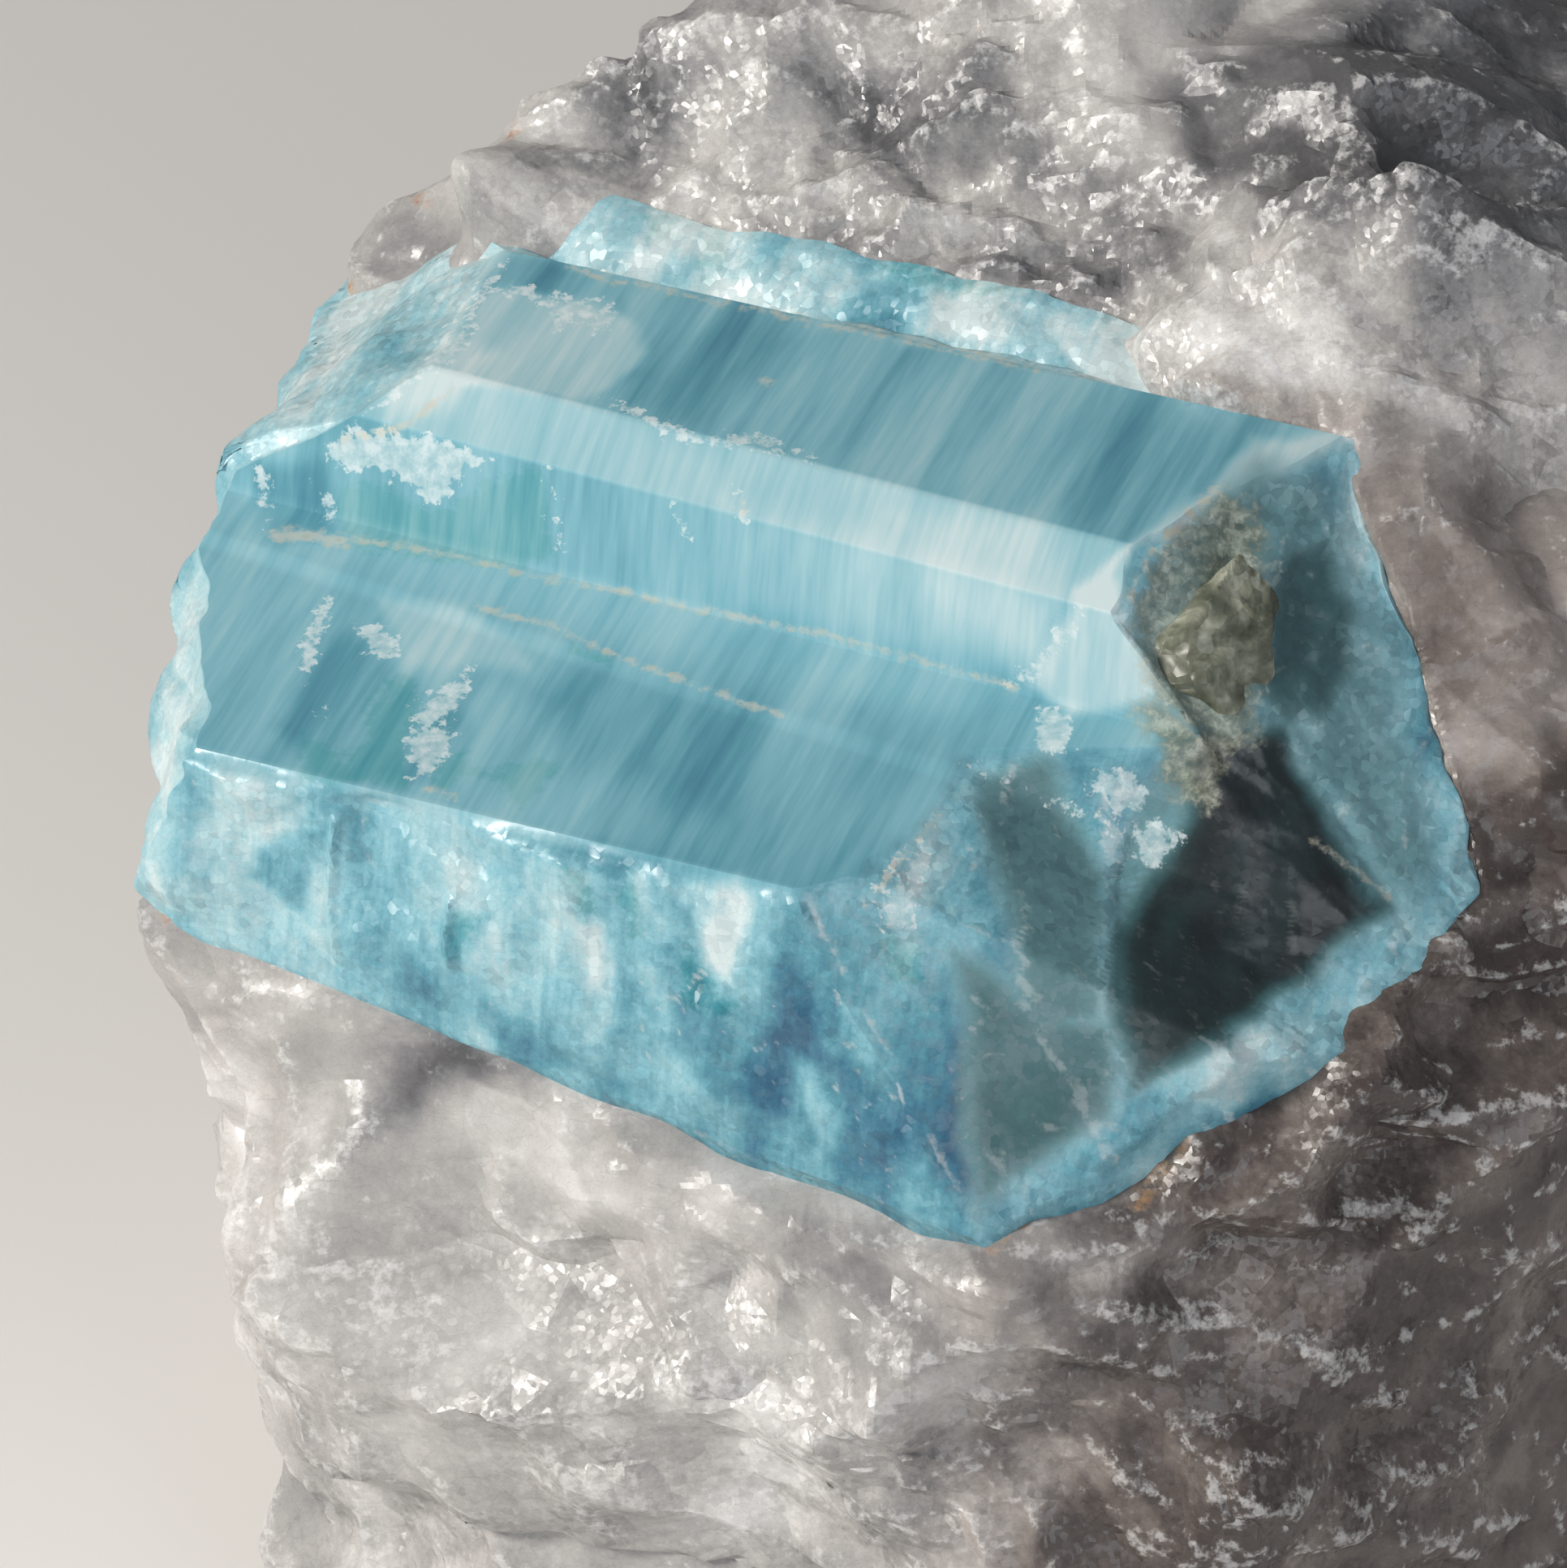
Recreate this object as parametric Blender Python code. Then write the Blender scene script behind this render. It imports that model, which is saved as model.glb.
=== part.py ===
"""Indicolite tourmaline crystal grown in a loose lump of smoky and milky quartz.

The lump stands on its broken flat underside. A stepped prism of blue tourmaline lies in its upper
front, with its long faces running to the right, and a small grain of feldspar sits in the broken
right end of the prism.

Lengths are millimetres until the mesh is made, which is in metres with +Z up. Places on the prism
are given in its own directions: u runs along it to the right, v across it towards the viewer and
w up out of it.
"""
import math

import bmesh
import bpy
import numpy as np
from mathutils import kdtree

MM = 0.001

# The prism: where its top ridge meets the left break, and how it is turned
CORNER = np.array([-10.63, 6.06, 28.0])
PLAN_DEG = 22.3
PITCH_DEG = 1.6

# Clear gap between two pieces that touch
GAP = 0.3

# Distance, in metres, within which vertices are merged
WELD = 4e-5

# Longest mesh edge on broken quartz and on broken tourmaline
QUARTZ_EDGE = 2.5
TOURMALINE_EDGE = 1.5

# Corners of the prism's section as (v, w), first at u = 0 and then at u = SECTION_SPAN
SECTION_SPAN = 18.0
SECTION = (
    ((-3.3, -7.0), (-3.2, -7.0)),       # foot of the rear wall
    ((-2.7, -1.4), (-2.6, -1.4)),       # rear wall
    ((-1.95, 0.3), (-1.9, 0.3)),        # back of the rough strip
    ((-1.15, -0.05), (-1.1, -0.05)),    # middle of the rough strip
    ((-0.35, -0.6), (-0.35, -0.6)),     # front of the rough strip
    ((0.0, 0.0), (0.0, 0.0)),           # top ridge
    ((4.65, 0.0), (5.35, 0.0)),         # end of the top tread
    ((5.95, -0.75), (6.75, -0.75)),     # end of the bevel
    ((6.8, -3.15), (7.35, -3.15)),      # crease at the foot of the upper riser
    ((8.4, -3.3), (10.2, -3.3)),        # top of the small ledge
    ((8.55, -3.62), (10.4, -3.58)),     # foot of the small ledge
    ((14.4, -3.9), (14.4, -3.7)),       # ridge of the lower step
    ((14.8, -5.4), (15.1, -5.95)),      # broken front
    ((15.2, -6.9), (15.8, -8.2)),       # broken front
    ((15.6, -8.45), (16.6, -10.5)),     # lower front edge
    ((14.8, -11.2), (15.6, -13.0)),     # foot of the front, in the quartz
    ((9.5, -14.0), (9.5, -14.5)),       # keel
    ((1.0, -12.6), (1.0, -12.8)),       # rear of the keel
)
STRIP_CORNERS = (2, 3)                  # back and middle of the rough strip
STRIP_SINK = 0.4                        # how far these may be sunk, ring by ring
PRISM_ENDS = (-9.0, 27.0)               # before the ends are broken off
PRISM_RINGS = 19

# Broken ends of the prism: a point on each break and its outward normal, in (u, v, w)
BREAKS = (
    ((-0.3, 0.0, 0.0), (-0.555, 0.0, 0.832)),       # left slope
    ((-4.6, 5.0, -3.0), (-0.975, 0.11, 0.19)),      # left wall
    ((-3.9, 9.4, -3.8), (-0.836, 0.400, 0.371)),    # left front corner
    ((-2.9, 15.0, -7.0), (-0.93, 0.15, -0.33)),     # left front foot
    ((19.5, 0.0, 0.0), (0.637, 0.339, 0.694)),      # right slope
    ((19.7, 0.0, 0.0), (0.8, -0.1, 0.48)),          # right wall
    ((24.7, 5.2, -7.6), (0.97, 0.24, -0.1)),        # right foot
    ((17.9, 16.2, -11.0), (0.74, 0.66, 0.0)),       # right front foot
    ((13.6, 13.65, -3.8), (0.419, 0.728, 0.542)),   # right front corner
)
# The lower step is broken off further back than the upper one
STEP_BREAK = ((16.1, 7.3, -3.8), (0.476, 0.17, 0.873))
STEP_WALL = ((15.0, 7.8, -3.3), (0.0, 0.97, 0.243))
STEP_WEDGE = ((25.0, 10.0, 8.0), 20.0)  # middle and half size of the cube that the wedge is cut from

# Grain of feldspar in the right break: centre in (u, v, w), and its faces as outward normals with
# their distances from that centre
GRAIN_CENTRE = (18.25, 4.9, -2.35)
GRAIN_FACES = (
    ((0.71, 0.38, 0.59), 0.75), ((0.9, -0.1, 0.2), 0.95), ((0.3, 0.9, 0.1), 1.25),
    ((0.1, -0.9, 0.3), 1.3), ((-0.2, 0.3, 0.9), 1.45), ((-0.6, -0.3, 0.6), 1.35),
    ((-0.9, 0.2, -0.2), 1.3), ((0.1, 0.5, -0.85), 1.6), ((0.3, -0.5, -0.8), 1.55),
    ((0.2, 0.75, 0.65), 1.3), ((-0.4, 0.8, -0.4), 1.4), ((-0.5, -0.7, -0.5), 1.5),
)

# The lump: its centre, and its faces as a point and an outward normal. The hull closes it in all
# round. Inside the hull it is the union of three bodies: the seat under the crystal, the mass
# behind it and the shoulder at its right. Their valleys are where the crystal lies.
LUMP_CENTRE = np.array([0.0, 0.0, 15.0])
CUBE_HALF = 45.0
HULL = (
    ((0.0, -17.0, 9.0), (-0.12, -0.99, 0.02)),       # foot of the front wall
    ((0.0, -16.5, 17.6), (0.25, -0.87, 0.42)),       # front wall, right part
    ((13.0, -11.5, 12.0), (0.62, -0.78, 0.06)),      # right front
    ((17.0, -5.0, 19.0), (0.84, -0.45, 0.30)),       # right, upper
    ((18.9, 2.0, 15.0), (0.99, 0.08, -0.08)),        # right
    ((17.4, 10.7, 20.0), (0.72, 0.68, 0.06)),        # right back
    ((14.5, 4.0, 29.6), (0.50, 0.0, 0.87)),          # right top
    ((0.0, 11.0, 33.2), (0.08, 0.20, 0.97)),         # top
    ((0.0, 14.6, 30.8), (0.02, 0.74, 0.66)),         # back top
    ((0.0, 16.2, 16.0), (-0.06, 0.99, -0.06)),       # back
    ((-11.5, 12.8, 18.0), (-0.72, 0.69, 0.0)),       # left back
    ((-10.0, 8.9, 30.6), (-0.50, 0.60, 0.62)),       # left back top
    ((-14.8, 6.5, 27.0), (-0.90, 0.25, 0.32)),       # left top
    ((-18.6, -5.8, 20.5), (-0.965, 0.22, 0.10)),     # left, upper
    ((-18.8, -6.2, 18.4), (-0.965, 0.05, -0.22)),    # left, undercut
    ((-17.5, -9.0, 16.0), (-0.86, -0.50, -0.08)),    # left front
    ((-14.3, -13.8, 9.5), (-0.62, -0.78, -0.06)),    # left front foot
    ((-4.0, -15.6, 2.6), (-0.10, -0.74, -0.66)),     # front, near the base
    ((15.6, -3.0, 2.8), (0.78, -0.05, -0.62)),       # right, near the base
    ((2.0, 13.8, 3.2), (0.05, 0.74, -0.66)),         # back, near the base
    ((-14.4, 3.0, 2.6), (-0.72, 0.10, -0.68)),       # left, near the base
)
FRONT_WALL = ((9.0, 15.75, -9.7), (0.0, 0.93, 0.37))             # in (u, v, w)
SEAT_TOP = ((0.0, 0.0, -0.6), (0.15, 0.5, 1.0))                  # in (u, v, w)
SEAT_LEFT = ((-0.3, 0.0, -1.3), (-0.555, 0.0, 0.832))            # in (u, v, w)
SEAT_RIGHT = ((10.2, -8.2, 21.5), (0.585, -0.638, 0.5))
REAR_SLOPE = ((8.0, -2.2, 0.45), (0.0, 0.62, 0.785))             # in (u, v, w)
REAR_LEFT = ((-0.5, -1.5, 0.2), (-0.45, 0.5, 0.74))              # in (u, v, w)
REAR_SIDES = (
    ((9.0, 5.0, 31.5), (0.42, -0.32, 0.85)),         # right top
    ((7.5, -1.3, 28.4), (0.17, -0.66, 0.72)),        # right of the crystal
)
SHOULDER_SLOPE = ((17.0, -0.12, -0.12), (0.05, 0.62, 0.785))     # in (u, v, w)
SHOULDER_SIDES = (
    ((7.5, -1.3, 28.5), (0.17, -0.66, 0.72)),        # right of the crystal
    ((3.3, 1.4, 29.4), (-0.70, 0.15, 0.70)),         # cleft
    ((6.5, 3.6, 31.4), (0.05, 0.55, 0.83)),          # back
)

# Relief of the broken quartz: size of the scoops, depth and seed, coarse to fine
QUARTZ_SCOOPS = ((10.0, 1.9, 11), (4.6, 1.1, 23))
TOURMALINE_SCOOPS = ((3.4, 0.45, 31), (1.7, 0.25, 37))
SCOOP_HEIGHTS = 0.5                     # spread of the scoops' heights, as a share of their size
SCOOP_CURVE = 0.9                       # how fast a scoop's bowl rises from its middle, and its tilt
SCOOP_MEAN = 0.44                       # mean of the lowest bowl, which is taken off
SCOOP_MOST = 0.55                       # the deepest that a scoop gets above or below the mean
BASE_FADE = 2.5                         # height over which the relief fades out to the flat base
CONTACT_FADE = 4.0                      # distance from the crystal over which it fades in
CONTACT_LEAST = 0.12                    # share of the relief left at the crystal

# Which faces of the prism are broken: ends turned at least this far along u, and fronts turned this
# far along v below the lower step's ridge, all above the keel and in front of the rear wall
END_TURN = 0.4
FRONT_TURN = 0.9
FRONT_TOP = -3.9
BROKEN_LOWEST = -12.0
BROKEN_REARMOST = -1.0

# Line along which the quartz meets the crystal, in (u, v, w)
CONTACT = (
    (-5.2, -2.3, -3.5), (-1.0, -2.3, 0.2), (18.0, -2.3, 0.45), (19.5, 0.0, 0.0),
    (21.8, 1.7, -3.0), (23.0, 3.2, -4.85), (24.5, 5.3, -7.2), (22.0, 12.1, -8.4),
    (18.1, 16.5, -11.0), (9.0, 16.1, -9.5), (0.0, 15.6, -8.4), (-3.0, 15.0, -7.8),
    (-4.2, 9.0, -5.0), (-4.6, 5.0, -3.5), (-5.2, -2.3, -3.5),
)

COLOURS = {
    "quartz": ((0.62, 0.57, 0.54, 1.0), 0.35),
    "tourmaline": ((0.10, 0.36, 0.47, 1.0), 0.22),
    "feldspar": ((0.45, 0.42, 0.29, 1.0), 0.5),
}


# Directions and planes

def prism_axes():
    """Unit vectors of u, v and w in the world."""
    plan, pitch = math.radians(PLAN_DEG), math.radians(PITCH_DEG)
    u = np.array([math.cos(plan) * math.cos(pitch), -math.sin(plan) * math.cos(pitch), math.sin(pitch)])
    v = np.array([-math.sin(plan), -math.cos(plan), 0.0])
    return np.array([u, v, np.cross(v, u)])


AXES = prism_axes()


def place(uvw):
    """World position of a place on the prism."""
    return CORNER + np.asarray(uvw, float) @ AXES


def world_plane(face):
    """A face given in (u, v, w) as a point and a normal in the world."""
    point, normal = face
    return place(point), np.asarray(normal, float) @ AXES


# Mesh helpers

def bare_scene():
    """Starts from an empty file."""
    for thing in list(bpy.data.objects):
        bpy.data.objects.remove(thing, do_unlink=True)
    for group in list(bpy.data.collections):
        bpy.data.collections.remove(group)


def collection(name, hidden=False):
    made = bpy.data.collections.new(name)
    bpy.context.scene.collection.children.link(made)
    made.hide_render = hidden
    return made


def to_object(bm, name, group):
    mesh = bpy.data.meshes.new(name)
    bm.to_mesh(mesh)
    bm.free()
    made = bpy.data.objects.new(name, mesh)
    group.objects.link(made)
    return made


def cut(bm, point, normal):
    """Cuts away what lies outside a plane and closes the cut."""
    found = bmesh.ops.bisect_plane(
        bm, geom=bm.verts[:] + bm.edges[:] + bm.faces[:], dist=1e-8, plane_co=tuple(np.asarray(point) * MM),
        plane_no=tuple(np.asarray(normal) / np.linalg.norm(normal)), clear_outer=True)
    rim = [e for e in found["geom_cut"] if isinstance(e, bmesh.types.BMEdge)]
    if rim:
        bmesh.ops.contextual_create(bm, geom=rim)


def block(name, group, faces, centre=LUMP_CENTRE, half=CUBE_HALF):
    """A cube cut by planes."""
    bm = bmesh.new()
    bmesh.ops.create_cube(bm, size=2 * half * MM)
    bmesh.ops.translate(bm, verts=bm.verts, vec=tuple(centre * MM))
    for point, normal in faces:
        cut(bm, point, normal)
    bmesh.ops.recalc_face_normals(bm, faces=bm.faces)
    return to_object(bm, name, group)


def combine(target, other, operation):
    """Exact Boolean of two objects, kept in the first one's mesh."""
    step = target.modifiers.new(operation.lower(), "BOOLEAN")
    step.operation = operation
    step.solver = "EXACT"
    step.object = other
    depsgraph = bpy.context.evaluated_depsgraph_get()
    mesh = bpy.data.meshes.new_from_object(target.evaluated_get(depsgraph))
    target.modifiers.clear()
    target.data = mesh


def coordinates(bm):
    return np.array([v.co[:] for v in bm.verts])


# Relief

def lattice_random(cell, seed, channel):
    """A number from 0 to 1 for each lattice cell, the same on every run."""
    x, y, z = (cell[..., k].astype(np.int64).astype(np.uint32) for k in range(3))
    with np.errstate(over="ignore"):
        h = x * np.uint32(73856093) ^ y * np.uint32(19349663) ^ z * np.uint32(83492791)
        h = h ^ np.uint32((seed * 2654435761 + channel * 40503) % 2**32)
        h = (h ^ (h >> np.uint32(15))) * np.uint32(2246822519)
        h = (h ^ (h >> np.uint32(13))) * np.uint32(3266489917)
        h = h ^ (h >> np.uint32(16))
    return h.astype(float) / 2**32


def scoops(points, size, seed):
    """Shell-like scoops that meet in sharp ridges, as a share of their size and 0 on average.

    Each lattice cell holds one centre with its own tilt and height. A scoop is a shallow bowl round
    its centre, and the lowest bowl wins at each point.
    """
    q = np.asarray(points, float) / size
    home = np.floor(q)
    lowest = np.full(len(q), 1e9)
    for dx in (-1, 0, 1):
        for dy in (-1, 0, 1):
            for dz in (-1, 0, 1):
                cell = home + (dx, dy, dz)
                centre = cell + np.stack([lattice_random(cell, seed, k) for k in range(3)], 1)
                tilt = np.stack([lattice_random(cell, seed, k) for k in (3, 4, 5)], 1) - 0.5
                height = lattice_random(cell, seed, 6) * SCOOP_HEIGHTS
                away = q - centre
                bowl = height + SCOOP_CURVE * ((away * tilt).sum(1) + (away**2).sum(1))
                lowest = np.minimum(lowest, bowl)
    return SCOOP_MEAN - lowest


def to_contact(points):
    """Distance of each point from the line where quartz and crystal meet."""
    line = place(CONTACT)
    best = np.full(len(points), 1e9)
    for a, b in zip(line, line[1:]):
        along = np.clip((points - a) @ (b - a) / ((b - a) @ (b - a)), 0.0, 1.0)
        best = np.minimum(best, np.linalg.norm(points - a - along[:, None] * (b - a), axis=1))
    return best


def split_long_edges(bm, longest, wanted):
    """Halves the edges longer than a length, the longest first, where wanted() says so.

    In each round no triangle is cut twice, so every cut makes two sound triangles of one. Diagonals
    inside flat faces are then swapped where that makes better triangles.
    """
    bmesh.ops.triangulate(bm, faces=bm.faces[:])
    for _ in range(60):
        long = [(e.calc_length(), e) for e in bm.edges if e.calc_length() > longest * MM and wanted(e)]
        if not long:
            return
        taken, chosen = set(), []
        for _, edge in sorted(long, key=lambda pair: -pair[0]):
            if not taken.intersection(edge.link_faces):
                taken.update(edge.link_faces)
                chosen.append(edge)
        bmesh.ops.subdivide_edges(bm, edges=chosen, cuts=1, use_single_edge=True)
        bm.normal_update()
        inner = [e for e in bm.edges if len(e.link_faces) == 2 and e.calc_face_angle(1.0) < 0.002]
        bmesh.ops.beautify_fill(bm, faces=bm.faces[:], edges=inner, method="ANGLE")


# The prism of tourmaline

def offset_outline(corners, grow):
    """The section's outline moved outwards by a length, with mitred corners."""
    p = np.asarray(corners, float)
    ahead = np.roll(p, -1, 0) - p
    ahead /= np.linalg.norm(ahead, axis=1)[:, None]
    out = np.stack([-ahead[:, 1], ahead[:, 0]], 1)
    before = np.roll(out, 1, 0)
    middle = out + before
    middle /= (1 + (out * before).sum(1))[:, None]
    return p + grow * middle


def prism(name, group, grow):
    """The stepped prism with its ends broken off. grow moves every face outwards."""
    left = offset_outline([a for a, _ in SECTION], grow)
    right = offset_outline([b for _, b in SECTION], grow)
    bm = bmesh.new()
    rings = []
    for turn, u in enumerate(np.linspace(*PRISM_ENDS, PRISM_RINGS)):
        outline = left + (right - left) * (u / SECTION_SPAN)
        if grow == 0.0:
            for k in STRIP_CORNERS:
                sink = STRIP_SINK * lattice_random(np.array([turn, k, 0]), 5, 0)
                outline[k] -= (-0.3 * sink, sink)
        rings.append([bm.verts.new(tuple(place((u, v, w)) * MM)) for v, w in outline])
    n = len(SECTION)
    for near, far in zip(rings, rings[1:]):
        for k in range(n):
            bm.faces.new((near[k], near[(k + 1) % n], far[(k + 1) % n], far[k]))
    bm.faces.new(rings[0][::-1])
    bm.faces.new(rings[-1])
    bmesh.ops.triangulate(bm, faces=[f for f in bm.faces if len(f.verts) > 3])
    for point, normal in BREAKS:
        start, out = world_plane((point, normal))
        cut(bm, start + grow * out / np.linalg.norm(out), out)
    bmesh.ops.recalc_face_normals(bm, faces=bm.faces)
    made = to_object(bm, name, group)

    step, step_out = world_plane(STEP_BREAK)
    wall, wall_out = world_plane(STEP_WALL)
    middle, half = STEP_WEDGE
    wedge = block(name + "_step", CUTTERS, (
        (step + grow * step_out / np.linalg.norm(step_out), -step_out),
        (wall + grow * wall_out / np.linalg.norm(wall_out), -wall_out)), place(middle), half)
    combine(made, wedge, "DIFFERENCE")
    return made


def break_tourmaline(thing):
    """Relief on the broken faces of the prism, sunk into it so that its ridges stay sharp."""
    bm = bmesh.new()
    bm.from_mesh(thing.data)
    bmesh.ops.remove_doubles(bm, verts=bm.verts, dist=WELD)
    bm.normal_update()
    to_prism = AXES.T

    def is_broken(face):
        out = np.array(face.normal[:]) @ to_prism
        middle = (np.array(face.calc_center_median()[:]) / MM - CORNER) @ to_prism
        end = abs(out[0]) > END_TURN
        front = out[1] > FRONT_TURN and middle[2] < FRONT_TOP
        return (end or front) and middle[2] > BROKEN_LOWEST and middle[1] > BROKEN_REARMOST

    split_long_edges(bm, TOURMALINE_EDGE, lambda e: any(is_broken(f) for f in e.link_faces))
    bm.normal_update()
    points = coordinates(bm) / MM
    rough = np.array([all(is_broken(f) for f in v.link_faces) for v in bm.verts])
    inward = np.array([v.normal[:] for v in bm.verts])
    depth = np.zeros(len(points))
    for size, deep, seed in TOURMALINE_SCOOPS:
        depth += deep * (scoops(points, size, seed) + SCOOP_MOST)
    smooth = np.nonzero(~rough)[0]
    tree = kdtree.KDTree(len(smooth))
    for k in smooth:
        tree.insert(points[k], int(k))
    tree.balance()
    clear = np.array([tree.find(p)[2] for p in points])
    moved = points - inward * np.minimum(depth, 0.5 * clear)[:, None]
    for vert, co in zip(bm.verts, moved * MM):
        vert.co = co
    bm.to_mesh(thing.data)
    bm.free()


# The lump of quartz

def lump(name, group):
    """The hull common to the union of the three bodies."""
    low = np.array([0.0, 0.0, -4.0])
    down = (0.0, 0.0, -1.0)
    made = block(name, group, (
        world_plane(SEAT_TOP), world_plane(SEAT_LEFT), SEAT_RIGHT, (low, down)))
    rear = block("rear_body", CUTTERS,
                 (world_plane(REAR_SLOPE), world_plane(REAR_LEFT)) + REAR_SIDES + ((low * 1.5, down),))
    shoulder = block("shoulder_body", CUTTERS,
                     (world_plane(SHOULDER_SLOPE),) + SHOULDER_SIDES + ((low * 2, down),))
    hull = block("hull_body", CUTTERS, HULL + (world_plane(FRONT_WALL), ((0.0, 0.0, 0.0), down)))
    combine(made, rear, "UNION")
    combine(made, shoulder, "UNION")
    combine(made, hull, "INTERSECT")
    return made


def break_quartz(thing):
    """Scooped relief over the whole lump but its flat base."""
    bm = bmesh.new()
    bm.from_mesh(thing.data)
    bmesh.ops.remove_doubles(bm, verts=bm.verts, dist=WELD)
    bmesh.ops.dissolve_limit(bm, angle_limit=math.radians(0.5), verts=bm.verts, edges=bm.edges)

    def above_base(edge):
        return any(v.co.z > 1e-7 for v in edge.verts) or any(f.normal.z > -0.99 for f in edge.link_faces)

    bm.normal_update()
    split_long_edges(bm, QUARTZ_EDGE, above_base)
    points = coordinates(bm) / MM
    away = points - LUMP_CENTRE
    reach = np.linalg.norm(away, axis=1)
    depth = np.zeros(len(points))
    for size, deep, seed in QUARTZ_SCOOPS:
        depth += deep * scoops(points, size, seed)
    near = np.clip(to_contact(points) / CONTACT_FADE, CONTACT_LEAST, 1.0)
    depth *= np.clip(points[:, 2] / BASE_FADE, 0.0, 1.0) * near
    moved = LUMP_CENTRE + away * (1 - depth / reach)[:, None]
    for vert, co in zip(bm.verts, moved * MM):
        vert.co = co
    bmesh.ops.recalc_face_normals(bm, faces=bm.faces)
    bm.to_mesh(thing.data)
    bm.free()


# The grain of feldspar

def grain(name, group, grow):
    """A block with flat cleaved faces. grow moves every face outwards."""
    faces = []
    for normal, distance in GRAIN_FACES:
        n = np.asarray(normal, float)
        n /= np.linalg.norm(n)
        faces.append(world_plane((np.asarray(GRAIN_CENTRE) + n * (distance + grow), n)))
    return block(name, group, faces, centre=place(GRAIN_CENTRE), half=4.0)


# Finishing

def finish(thing, slot):
    """One clean closed mesh with its own material."""
    bm = bmesh.new()
    bm.from_mesh(thing.data)
    bmesh.ops.remove_doubles(bm, verts=bm.verts, dist=WELD)
    bmesh.ops.dissolve_degenerate(bm, edges=bm.edges, dist=WELD)
    bmesh.ops.triangulate(bm, faces=bm.faces[:])
    bmesh.ops.recalc_face_normals(bm, faces=bm.faces)
    bm.to_mesh(thing.data)
    bm.free()
    colour, roughness = COLOURS[slot]
    stuff = bpy.data.materials.new(slot)
    stuff.use_nodes = True
    shader = stuff.node_tree.nodes["Principled BSDF"]
    shader.inputs["Base Color"].default_value = colour
    shader.inputs["Roughness"].default_value = roughness
    thing.data.materials.clear()
    thing.data.materials.append(stuff)


bare_scene()
SPECIMEN = collection("indicolite_tourmaline")
CUTTERS = collection("cutters", hidden=True)

quartz = lump("quartz_matrix", SPECIMEN)
break_quartz(quartz)
combine(quartz, prism("crystal_nest", CUTTERS, GAP), "DIFFERENCE")

crystal = prism("indicolite_crystal", SPECIMEN, 0.0)
break_tourmaline(crystal)
combine(crystal, grain("grain_nest", CUTTERS, GAP), "DIFFERENCE")

feldspar = grain("feldspar_grain", SPECIMEN, 0.0)

finish(quartz, "quartz")
finish(crystal, "tourmaline")
finish(feldspar, "feldspar")
for cutter in CUTTERS.objects:
    cutter.hide_render = True
    cutter.display_type = "WIRE"
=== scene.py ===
"""Indicolite tourmaline in a lump of quartz: the finish, the light and the camera round the frame.

Lengths are millimetres until a mesh is made, which is in metres with +Z up. Places on the prism of
tourmaline are given in its own directions: u runs along it to the right, v across it towards the
viewer and w up out of it.
"""
import math

import bpy
import numpy as np
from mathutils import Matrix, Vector


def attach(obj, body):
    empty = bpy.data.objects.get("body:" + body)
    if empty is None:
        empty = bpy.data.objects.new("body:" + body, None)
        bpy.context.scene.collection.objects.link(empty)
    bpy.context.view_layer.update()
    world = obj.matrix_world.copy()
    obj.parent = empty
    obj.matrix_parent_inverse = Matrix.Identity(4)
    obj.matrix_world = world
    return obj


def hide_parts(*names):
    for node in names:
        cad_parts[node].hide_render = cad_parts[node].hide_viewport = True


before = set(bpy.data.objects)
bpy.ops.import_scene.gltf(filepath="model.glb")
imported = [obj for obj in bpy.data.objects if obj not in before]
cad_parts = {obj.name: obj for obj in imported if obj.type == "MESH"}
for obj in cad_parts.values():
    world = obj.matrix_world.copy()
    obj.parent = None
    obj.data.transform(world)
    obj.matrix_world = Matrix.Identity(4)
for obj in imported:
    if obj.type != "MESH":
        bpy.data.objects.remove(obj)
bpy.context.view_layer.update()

MM = 0.001

# The prism: where its top ridge meets the left break, and how it is turned
CORNER = np.array([-10.63, 6.06, 28.0])
PLAN_DEG = 22.3
PITCH_DEG = 1.6

# Corners of the prism's section as (v, w) at u = 0 and at u = SECTION_SPAN, each with the number of
# mesh steps to the next corner
SECTION_SPAN = 18.0
SECTION = (
    ((-3.3, -7.0), (-3.2, -7.0), 14),       # foot of the rear wall
    ((-2.7, -1.4), (-2.6, -1.4), 12),       # rear wall
    ((-1.95, 0.3), (-1.9, 0.3), 9),         # back of the rough strip
    ((-1.15, -0.05), (-1.1, -0.05), 9),     # middle of the rough strip
    ((-0.35, -0.6), (-0.35, -0.6), 7),      # front of the rough strip
    ((0.0, 0.0), (0.0, 0.0), 42),           # top ridge
    ((4.65, 0.0), (5.35, 0.0), 13),         # end of the top tread
    ((5.95, -0.75), (6.75, -0.75), 21),     # end of the bevel
    ((6.8, -3.15), (7.35, -3.15), 26),      # crease at the foot of the upper riser
    ((8.4, -3.3), (10.2, -3.3), 4),         # top of the small ledge
    ((8.8, -3.42), (10.65, -3.4), 42),      # foot of the small ledge
    ((14.4, -3.9), (14.4, -3.7), 16),       # ridge of the lower step
    ((14.8, -5.4), (15.1, -5.95), 16),      # broken front
    ((15.2, -6.9), (15.8, -8.2), 17),       # broken front
    ((15.6, -8.45), (16.6, -10.5), 9),      # lower front edge
    ((14.8, -11.2), (15.6, -13.0), 8),      # foot of the front, in the quartz
    ((9.5, -14.0), (9.5, -14.5), 9),        # keel
    ((1.0, -12.6), (1.0, -12.8), 9),        # rear of the keel
)
SECTION_CENTRE = (6.0, -9.0)
# The innermost ring of an end is this share of its outline
POLE_SHARE = 0.004
SIDE_STEPS = 190
CAP_STEPS = 54
RIGHT_CAP_STEPS = 84

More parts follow.
